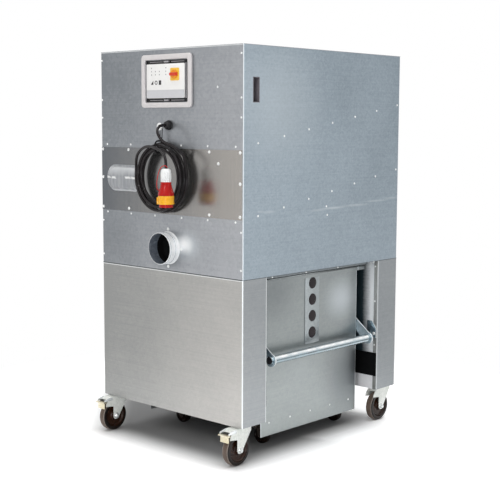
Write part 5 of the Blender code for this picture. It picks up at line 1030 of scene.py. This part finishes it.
print("dust bin")
sight = {"face": 0.3254, "middle": 0.004, "half": 0.045, "low": 0.397, "high": 0.680,
         "heights": (0.442, 0.510, 0.578, 0.6455), "radius": 0.0236, "thick": 0.0018}
strip = boxPiece(
    "sightStrip", at(sight["face"] + sight["thick"] / 2, sight["middle"], (sight["low"] + sight["high"]) / 2),
    (sight["thick"], 2 * sight["half"], sight["high"] - sight["low"]))
addModifier(strip, "BEVEL", width=0.0006, segments=2)
smoothed(strip)
finishPiece(strip, stripSheet, "bin", ["sight_strip"])
radius = sight["radius"]
for i, z in enumerate(sight["heights"]):
    sightAt = at(sight["face"] + sight["thick"], sight["middle"], z)
    disc = turnedPiece("sightDisc%d" % (i + 1), [
        (radius, 0), (radius, 0.0006), (radius - 0.0010, 0.0010), (radius * 0.6, 0.0013),
        (radius * 0.2, 0.0015)], 48, sightAt, facing["right"])
    finishPiece(disc, sightTint, "bin")
    bezel = turnedPiece("sightBezel%d" % (i + 1), [
        (radius + 0.0002, 0), (radius + 0.0022, 0), (radius + 0.0018, 0.0006), (radius + 0.0002, 0.0012),
        (radius + 0.0002, 0)], 48, sightAt, facing["right"])
    finishPiece(bezel, stripSheet, "bin")

# rolled edge on the bin's rim, a closed wire bead
bead = {"radius": 0.0038, "front": 0.3315, "rear": -0.326, "half": 0.349, "height": 0.6860}
beadPoints = [at(bead[x], way * bead["half"], bead["height"])
              for x, way in (("front", -1), ("front", 1), ("rear", 1), ("rear", -1))]
rimBead = drawnTube("binRimBead", beadPoints, bead["radius"], 3, True)
finishPiece(rimBead, binSheet, "bin")
# dark kick strip between the bay wall and the base beam
kickStrip = {"x": 0.0012, "y": 0.3541, "z": 0.2595, "size": (0.7935, 0.0012, 0.1010)}
for label, way in ends:
    kick = boxPiece("kickStrip" + label, at(kickStrip["x"], way * kickStrip["y"], kickStrip["z"]),
                    kickStrip["size"])
    addModifier(kick, "BEVEL", width=0.0004, segments=1)
    finishPiece(kick, kickStripBlack, "cabinet")
# sealing skirt under the chute deck, clips along its edge and the stops on the bay walls
trim = {
    "skirt": (0.3448, 0.0012, 0.6930, 0.7100, 0.349), "clips": (-0.324, -0.123, 0.079, 0.325),
    "clip": (0.0040, 0.009, 0.0055), "stopThick": 0.0030, "stopScrew": (0.3860, 0.3950),
    "stop": ((0.3480, 0.3760), (0.3480, 0.4500), (0.3740, 0.4500), (0.3960, 0.4180), (0.3960, 0.3760))}
skirtX, skirtThick, skirtLow, skirtHigh, skirtHalf = trim["skirt"]
clipOut, clipTall = trim["clip"][0], trim["clip"][2]
for label, way in (("Left", -1), ("Right", 1)):
    skirt = boxPiece("deckSkirt" + label, at(way * skirtX, 0, (skirtLow + skirtHigh) / 2),
                     (skirtThick, 2 * skirtHalf, skirtHigh - skirtLow))
    editing(skirt)                                  # the lower edge is turned in
    selectFaces(skirt, lambda centre, normal: normal.z < -0.9)
    bpy.ops.mesh.extrude_region_move(TRANSFORM_OT_translate={"value": (-way * 0.0015, 0, -0.0010)})
    doneEditing()
    smoothed(skirt)
    finishPiece(skirt, skirtSheet, "cabinet")
    clips = []
    clipX = way * (side - clipOut / 2)
    for y in trim["clips"]:
        clip = boxPiece("clipPart", at(clipX, y, seamHeight - clipTall / 2), trim["clip"])
        editing(clip)
        selectFaces(clip, lambda centre, normal: normal.z < -0.9)
        bpy.ops.transform.resize(value=(0.6, 0.5, 1), center_override=at(clipX, y, seamHeight - clipTall))
        doneEditing()
        addModifier(clip, "BEVEL", width=0.0009, segments=2)
        clips.append(clip)
    pick(*clips)
    bpy.ops.object.join()
    group = started("deckClips" + label)
    smoothed(group)
    finishPiece(group, zincPlating, "cabinet")
screwX, screwZ = trim["stopScrew"]
for label, way in ends:
    stop = cutPlate("bailStop" + label, [at(x, way * bayFace, z) for x, z in trim["stop"]],
                    (0, -way * trim["stopThick"], 0), 0.0008)
    finishPiece(stop, tubePlating, "cabinet")
    finishFaces(stop, cutZinc, lambda centre, normal: abs(normal.y) < 0.98)
    head = turnedPiece("bailStop%sScrew" % label, [
        (0.0070, 0), (0.0070, 0.0016), (0.0054, 0.0030), (0.0020, 0.0034)], 24,
        at(screwX, way * (bayFace - trim["stopThick"]), screwZ), facing["front" if way > 0 else "rear"])
    finishPiece(head, screwZinc, "cabinet")


print("bail")
bail = {"pivot": (0.180, 0.555), "length": 0.267, "rest": 40.4, "washerY": 0.3137}
pivotX, pivotZ = bail["pivot"]
endX = pivotX + bail["length"] * math.cos(math.radians(bail["rest"]))
endZ = pivotZ - bail["length"] * math.sin(math.radians(bail["rest"]))
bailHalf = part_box("bail_tube")[1].y - middleY
gripTube = turnedPiece("bailGripTube", [
    (0.0150, -bailHalf), (0.0164, -bailHalf), (0.0170, -bailHalf + 0.0006), (0.0170, bailHalf - 0.0006),
    (0.0164, bailHalf), (0.0150, bailHalf), (0.0150, -bailHalf)], 64, at(endX, 0, endZ), (-90, 0, 0))
finishPiece(gripTube, bailPlating, "bail", ["bail_tube"])
for label in ("Front", "Rear"):
    arm = softCopy("bail_arm_" + label.lower(), "bailArm" + label, 0.0012, armPlating)
    finishFaces(arm, cutZinc, lambda centre, normal: abs(normal.y) < 0.98)      # the cut edges shine
for label, way in ends:
    plugCap = turnedPiece("bailPlug" + label, [
        (0.0149, 0), (0.0149, 0.0050), (0.0120, 0.0052), (0.0110, 0.0040), (0.0060, 0.0036)], 40,
        at(endX, way * (bailHalf - 0.0060), endZ), facing[label.lower()])
    finishPiece(plugCap, blackPlastic, "bail")
for label, way in ends:
    washer = turnedPiece("bailWasher" + label, [
        (0.0064, 0), (0.0125, 0), (0.0125, 0.0012), (0.0118, 0.0016), (0.0064, 0.0016), (0.0064, 0)], 32,
        at(pivotX, way * bail["washerY"], pivotZ), facing[label.lower()])
    finishPiece(washer, zincPlating, "bin")


print("casters")
caster = {"tread": 0.033, "forkHalf": 0.0225, "washer": 0.0016, "scuffAndSheenFrom": 0.0619, "highlightFrom": 0.0606,
          "highlightTo": 0.02}
half = caster["tread"] / 2
tyre = turnedPiece("tyre", mirrored([
    (0.0475, -half), (0.0530, -half - 0.0002), (0.0575, -half + 0.0006), (0.0603, -half + 0.0026),
    (0.0618, -half + 0.0062), (0.0625, -half + 0.0115)]), 72, angle=25)
disc = turnedPiece("wheelDisc", mirrored([
    (0.0063, -0.0195), (0.0105, -0.0195), (0.0140, -0.0190), (0.0158, -0.0176), (0.0166, -0.0120),
    (0.0205, -0.0082), (0.0400, -0.0072), (0.0440, -0.0100), (0.0466, half * -0.92),
    (0.0480, half * -0.92)]), 72)
nut = turnedPiece("axleNut", [
    (0.0088, 0), (0.0094, 0.0008), (0.0094, 0.0062), (0.0086, 0.0070), (0.0056, 0.0070), (0.0056, 0.0092),
    (0.0048, 0.0098)], 6, angle=20)
washerRing = turnedPiece("axleWasher", [
    (0.0060, 0), (0.0130, 0), (0.0130, 0.0012), (0.0124, 0.0016), (0.0060, 0.0016), (0.0060, 0)], 32)
for corner in corners:
    low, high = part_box("caster_wheel_" + corner)
    hub = (low + high) / 2
    piece = copied(tyre, "tyre_" + corner, hub, (0, 90, 0))
    finishPiece(piece, tyreRubber, "wheel_" + corner, ["caster_wheel_" + corner])

    def scuffAndSheen(centre, normal):                    # the running face, scuffed and with a painted sheen
        return math.hypot(centre.y - hub.y, centre.z - hub.z) > caster["scuffAndSheenFrom"]

    def paintedHighlight(centre, normal):                     # and the shoulders beside it, a painted highlight
        reach = math.hypot(centre.y - hub.y, centre.z - hub.z)
        return caster["highlightFrom"] < reach <= caster["scuffAndSheenFrom"] and centre.x < hub.x + caster["highlightTo"]

    finishFaces(piece, treadRubber, scuffAndSheen)
    finishFaces(piece, shoulderHighlight, paintedHighlight)
    piece = copied(disc, "wheelDisc_" + corner, hub, (0, 90, 0))
    finishPiece(piece, wheelCore, "wheel_" + corner)
    body = "caster_" + corner
    softCopy("caster_fork_" + corner, "fork_" + corner, 0.0014, forkZinc, 3)
    for label, way in (("inner", -1), ("outer", 1)):
        outside, turn = hub + Vector((way * caster["forkHalf"], 0, 0)), (0, 90 * way, 0)
        piece = copied(washerRing, "axleWasher_%s_%s" % (corner, label), outside, turn)
        finishPiece(piece, zincPlating, body)
        outside += Vector((way * caster["washer"], 0, 0))
        piece = copied(nut, "axleNut_%s_%s" % (corner, label), outside, turn)
        finishPiece(piece, zincPlating, body)
    low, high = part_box("caster_plate_" + corner)
    swivel = (low + high) / 2
    race = turnedPiece("swivelRace_" + corner, [
        (0.0322, 0.1478), (0.0336, 0.1482), (0.0340, 0.1496), (0.0334, 0.1512), (0.0322, 0.1514),
        (0.0322, 0.1478)], 64, (swivel.x, swivel.y, 0))
    finishPiece(race, zincPlating, "cabinet")
for piece in (tyre, disc, nut, washerRing):
    bpy.data.objects.remove(piece)

pedal = {
    "pad": (0.034, 0.020, 0.0032), "padY": -0.5270, "padZ": 0.1342, "grooves": 3, "lip": 0.0024,
    "lipY": -0.5492, "lipZ": 0.1288, "cheekX": 0.0215, "cheekThick": 0.0022,
    "cheek": ((-0.5440, 0.1316), (-0.5440, 0.1385), (-0.5150, 0.1455), (-0.5010, 0.1455), (-0.5010, 0.1325))}
padDeep = pedal["pad"][1]
padStart = middleY + pedal["padY"] - padDeep / 2
for corner in ("front_left", "front_right"):
    body = "brake_" + corner
    softCopy("brake_pedal_" + corner, "pedal_" + corner, 0.0009, yellowPlating)
    low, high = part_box("brake_pedal_" + corner)
    middle = (low.x + high.x) / 2
    pad = boxPiece("pedalPad_" + corner, (middle, middleY + pedal["padY"], pedal["padZ"]), pedal["pad"])
    editing(pad)
    selectFaces(pad, lambda centre, normal: normal.z > 0.9)
    bpy.ops.mesh.subdivide(number_cuts=pedal["grooves"] * 2)
    strips = pedal["grooves"] * 2 + 1
    selectFaces(pad, lambda centre, normal:
                normal.z > 0.9 and int((centre.y - padStart) / padDeep * strips) % 2 == 1)
    bpy.ops.mesh.extrude_region_move(TRANSFORM_OT_translate={"value": (0, 0, -0.0009)})
    doneEditing()
    smoothed(pad)
    finishPiece(pad, blackPlastic, body)
    rollPoints = [Vector((middle + x, middleY + pedal["lipY"], pedal["lipZ"]))
                  for x in (-0.0255, -0.0245, 0.0245, 0.0255)]
    roll = drawnTube("pedalRoll_" + corner, rollPoints, pedal["lip"], 3)
    finishPiece(roll, yellowPlating, body)
    for label, way in (("inner", -1), ("outer", 1)):
        outline = [Vector((middle + way * pedal["cheekX"], middleY + y, z)) for y, z in pedal["cheek"]]
        cheek = cutPlate("pedalCheek_%s_%s" % (corner, label), outline, (way * pedal["cheekThick"], 0, 0),
                         0.0006)
        finishPiece(cheek, cutZinc, body)

roller = turnedPiece("dollyRoller", mirrored([
    (0.0056, -0.0120), (0.0110, -0.0120), (0.0120, -0.0100), (0.0280, -0.0090), (0.0300, -0.0118),
    (0.0340, -0.0116), (0.0364, -0.0098), (0.0375, -0.0066)]), 56)
for place in rollers:
    low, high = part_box("dolly_wheel_" + place)
    piece = copied(roller, "roller_" + place, (low + high) / 2, (90, 0, 0))
    finishPiece(piece, tyreRubber, "dolly_wheel_" + place, ["dolly_wheel_" + place])
bpy.data.objects.remove(roller)


def seenDirectly(tree):
    # 1 for what the camera sees, also in a mirror or through glass
    ray = addNode(tree, "LightPath")
    seen = ray.outputs["Is Camera Ray"]
    for kind in ("Is Glossy Ray", "Is Transmission Ray"):
        seen = addNode(tree, "Math", {"operation": "MAXIMUM", 0: seen, 1: ray.outputs[kind]})
    return seen


print("floor, light and background")
stageLook = {
    "floorSize": 60, "skyForLight": 0.55, "floorBright": 1.60, "fadeFrom": 1.1, "fadeTo": 1.7,
    "footprint": (0.24, 0.30), "contactReach": 0.26, "contactDark": 0.19, "thrown": (-0.38, 0.38),
    "thrownFrom": (-0.04, -0.20, 0.31, 0.17)}
bpy.ops.object.select_all(action="DESELECT")
bpy.ops.mesh.primitive_plane_add(size=stageLook["floorSize"])
floor = started("studioFloor")
floorPaint, tree, shader, place = newMaterial(
    "whiteStudioFloor", Roughness=0.8, Base_Color=linearColour("#f4f4f4"), Specular_IOR_Level=0.0)
# painted shadow on the floor: its colour is darkened under and beside the cabinet's footprint
beside = addNode(tree, "VectorMath", {"operation": "ABSOLUTE", 0: place})
beside = addNode(tree, "VectorMath", {"operation": "SUBTRACT", 0: beside, 1: (*stageLook["footprint"], 0)})
beside = addNode(tree, "VectorMath", {"operation": "MAXIMUM", 0: beside, 1: (0, 0, 0)})
beside = addNode(tree, "VectorMath", {"operation": "LENGTH", 0: beside})
# painted shadow, reaching out to the rear left as if thrown by a lamp at the front right
(thrownX, thrownY), (startX, startY, halfX, halfY) = stageLook["thrown"], stageLook["thrownFrom"]
across = Vector((thrownY, -thrownX, 0)).normalized()
slabs = (((1, 0, 0), startX + thrownX / 2, halfX - thrownX / 2),
         ((0, 1, 0), startY + thrownY / 2, halfY + thrownY / 2),
         (across, across.x * startX + across.y * startY, across.x * halfX + across.y * halfY))
outside = None
for direction, centre, reach in slabs:
    along = addNode(tree, "VectorMath", {"operation": "DOT_PRODUCT", 0: place, 1: direction})
    along = addNode(tree, "Math", {"operation": "SUBTRACT", 0: along, 1: centre})
    along = addNode(tree, "Math", {"operation": "ABSOLUTE", 0: along})
    along = addNode(tree, "Math", {"operation": "SUBTRACT", 0: along, 1: reach})
    if outside:
        along = addNode(tree, "Math", {"operation": "MAXIMUM", 0: outside, 1: along})
    outside = along
nearest = addNode(tree, "Math", {"operation": "MINIMUM", 0: beside, 1: outside})
contact = addNode(tree, "MapRange", {
    "interpolation_type": "SMOOTHSTEP", "From Max": stageLook["contactReach"],
    "To Min": stageLook["contactDark"], "Value": nearest})
shade = addNode(tree, "CombineColor", {i: contact for i in range(3)})
grounded = addNode(tree, "Mix", {
    "data_type": "RGBA", "blend_type": "MULTIPLY", 0: 1.0, 6: (*[stageLook["floorBright"]] * 3, 1), 7: shade})
far = addNode(tree, "VectorMath", {"operation": "LENGTH", 0: place})
fade = addNode(tree, "MapRange", {"interpolation_type": "SMOOTHSTEP", "From Min": stageLook["fadeFrom"],
                                  "From Max": stageLook["fadeTo"], "Value": far})
lit = addNode(tree, "BsdfDiffuse", {"Color": grounded})
white = addNode(tree, "Emission", {"Strength": 1.0})
seenFloor = addNode(tree, "MixShader", {0: fade, 1: lit, 2: white})
both = addNode(tree, "MixShader", {0: seenDirectly(tree), 1: shader, 2: seenFloor})
setNode(tree.nodes["Material Output"], {"Surface": both})
floor.data.materials.append(floorPaint)

world = bpy.data.worlds.new("paleStudio")
bpy.context.scene.world = world
world.use_nodes = True
tree = world.node_tree
upwards = addNode(tree, "SeparateXYZ", {0: addNode(tree, "TexCoord").outputs["Generated"]}).outputs[2]
height = addNode(tree, "MapRange", {"From Min": -0.1, "From Max": 0.7, "To Min": 0.12,
                                    "To Max": stageLook["skyForLight"], "Value": upwards})
level = addNode(tree, "Mix", {"data_type": "FLOAT", 0: seenDirectly(tree), 2: height, 3: 1.0})
setNode(tree.nodes["Background"], {"Color": (1, 1, 1, 1), "Strength": level})

lamps = (
    ("overheadLamp", (0, 0, 4.6), (0, 0, 0), (5, 5), 132, "#ffffff"),
    ("keyLamp", (1.2, -3.8, 2.6), (0, 0, 0.9), (2.2, 1.6), 22, "#fffdf8"),
    ("fillLamp", (4.2, 0.9, 1.7), (0, 0, 0.7), (2.0, 2.0), 20, "#f4f9ff"),
    ("lowLamp", (1.7, -2.7, 0.45), (0.38, 0.30, 0.35), (0.9, 0.5), 12, "#f4f9ff"),
    ("glintLamp", (1.8, -4.3, 2.7), (0, -0.4, 0.8), (0.30, 0.30), 14, "#ffffff"),
)
for name, place, aim, size, watts, tint in lamps:
    bpy.ops.object.select_all(action="DESELECT")
    bpy.ops.object.light_add(type="AREA", location=place)
    lamp = bpy.context.object
    lamp.name = name
    lamp.data.shape = "RECTANGLE"
    lamp.data.size, lamp.data.size_y = size
    lamp.data.energy = watts
    lamp.data.color = linearColour(tint)[:3]
    lamp.rotation_euler = (Vector(aim) - Vector(place)).to_track_quat("-Z", "Y").to_euler()

bpy.context.scene.view_settings.view_transform = "Standard"
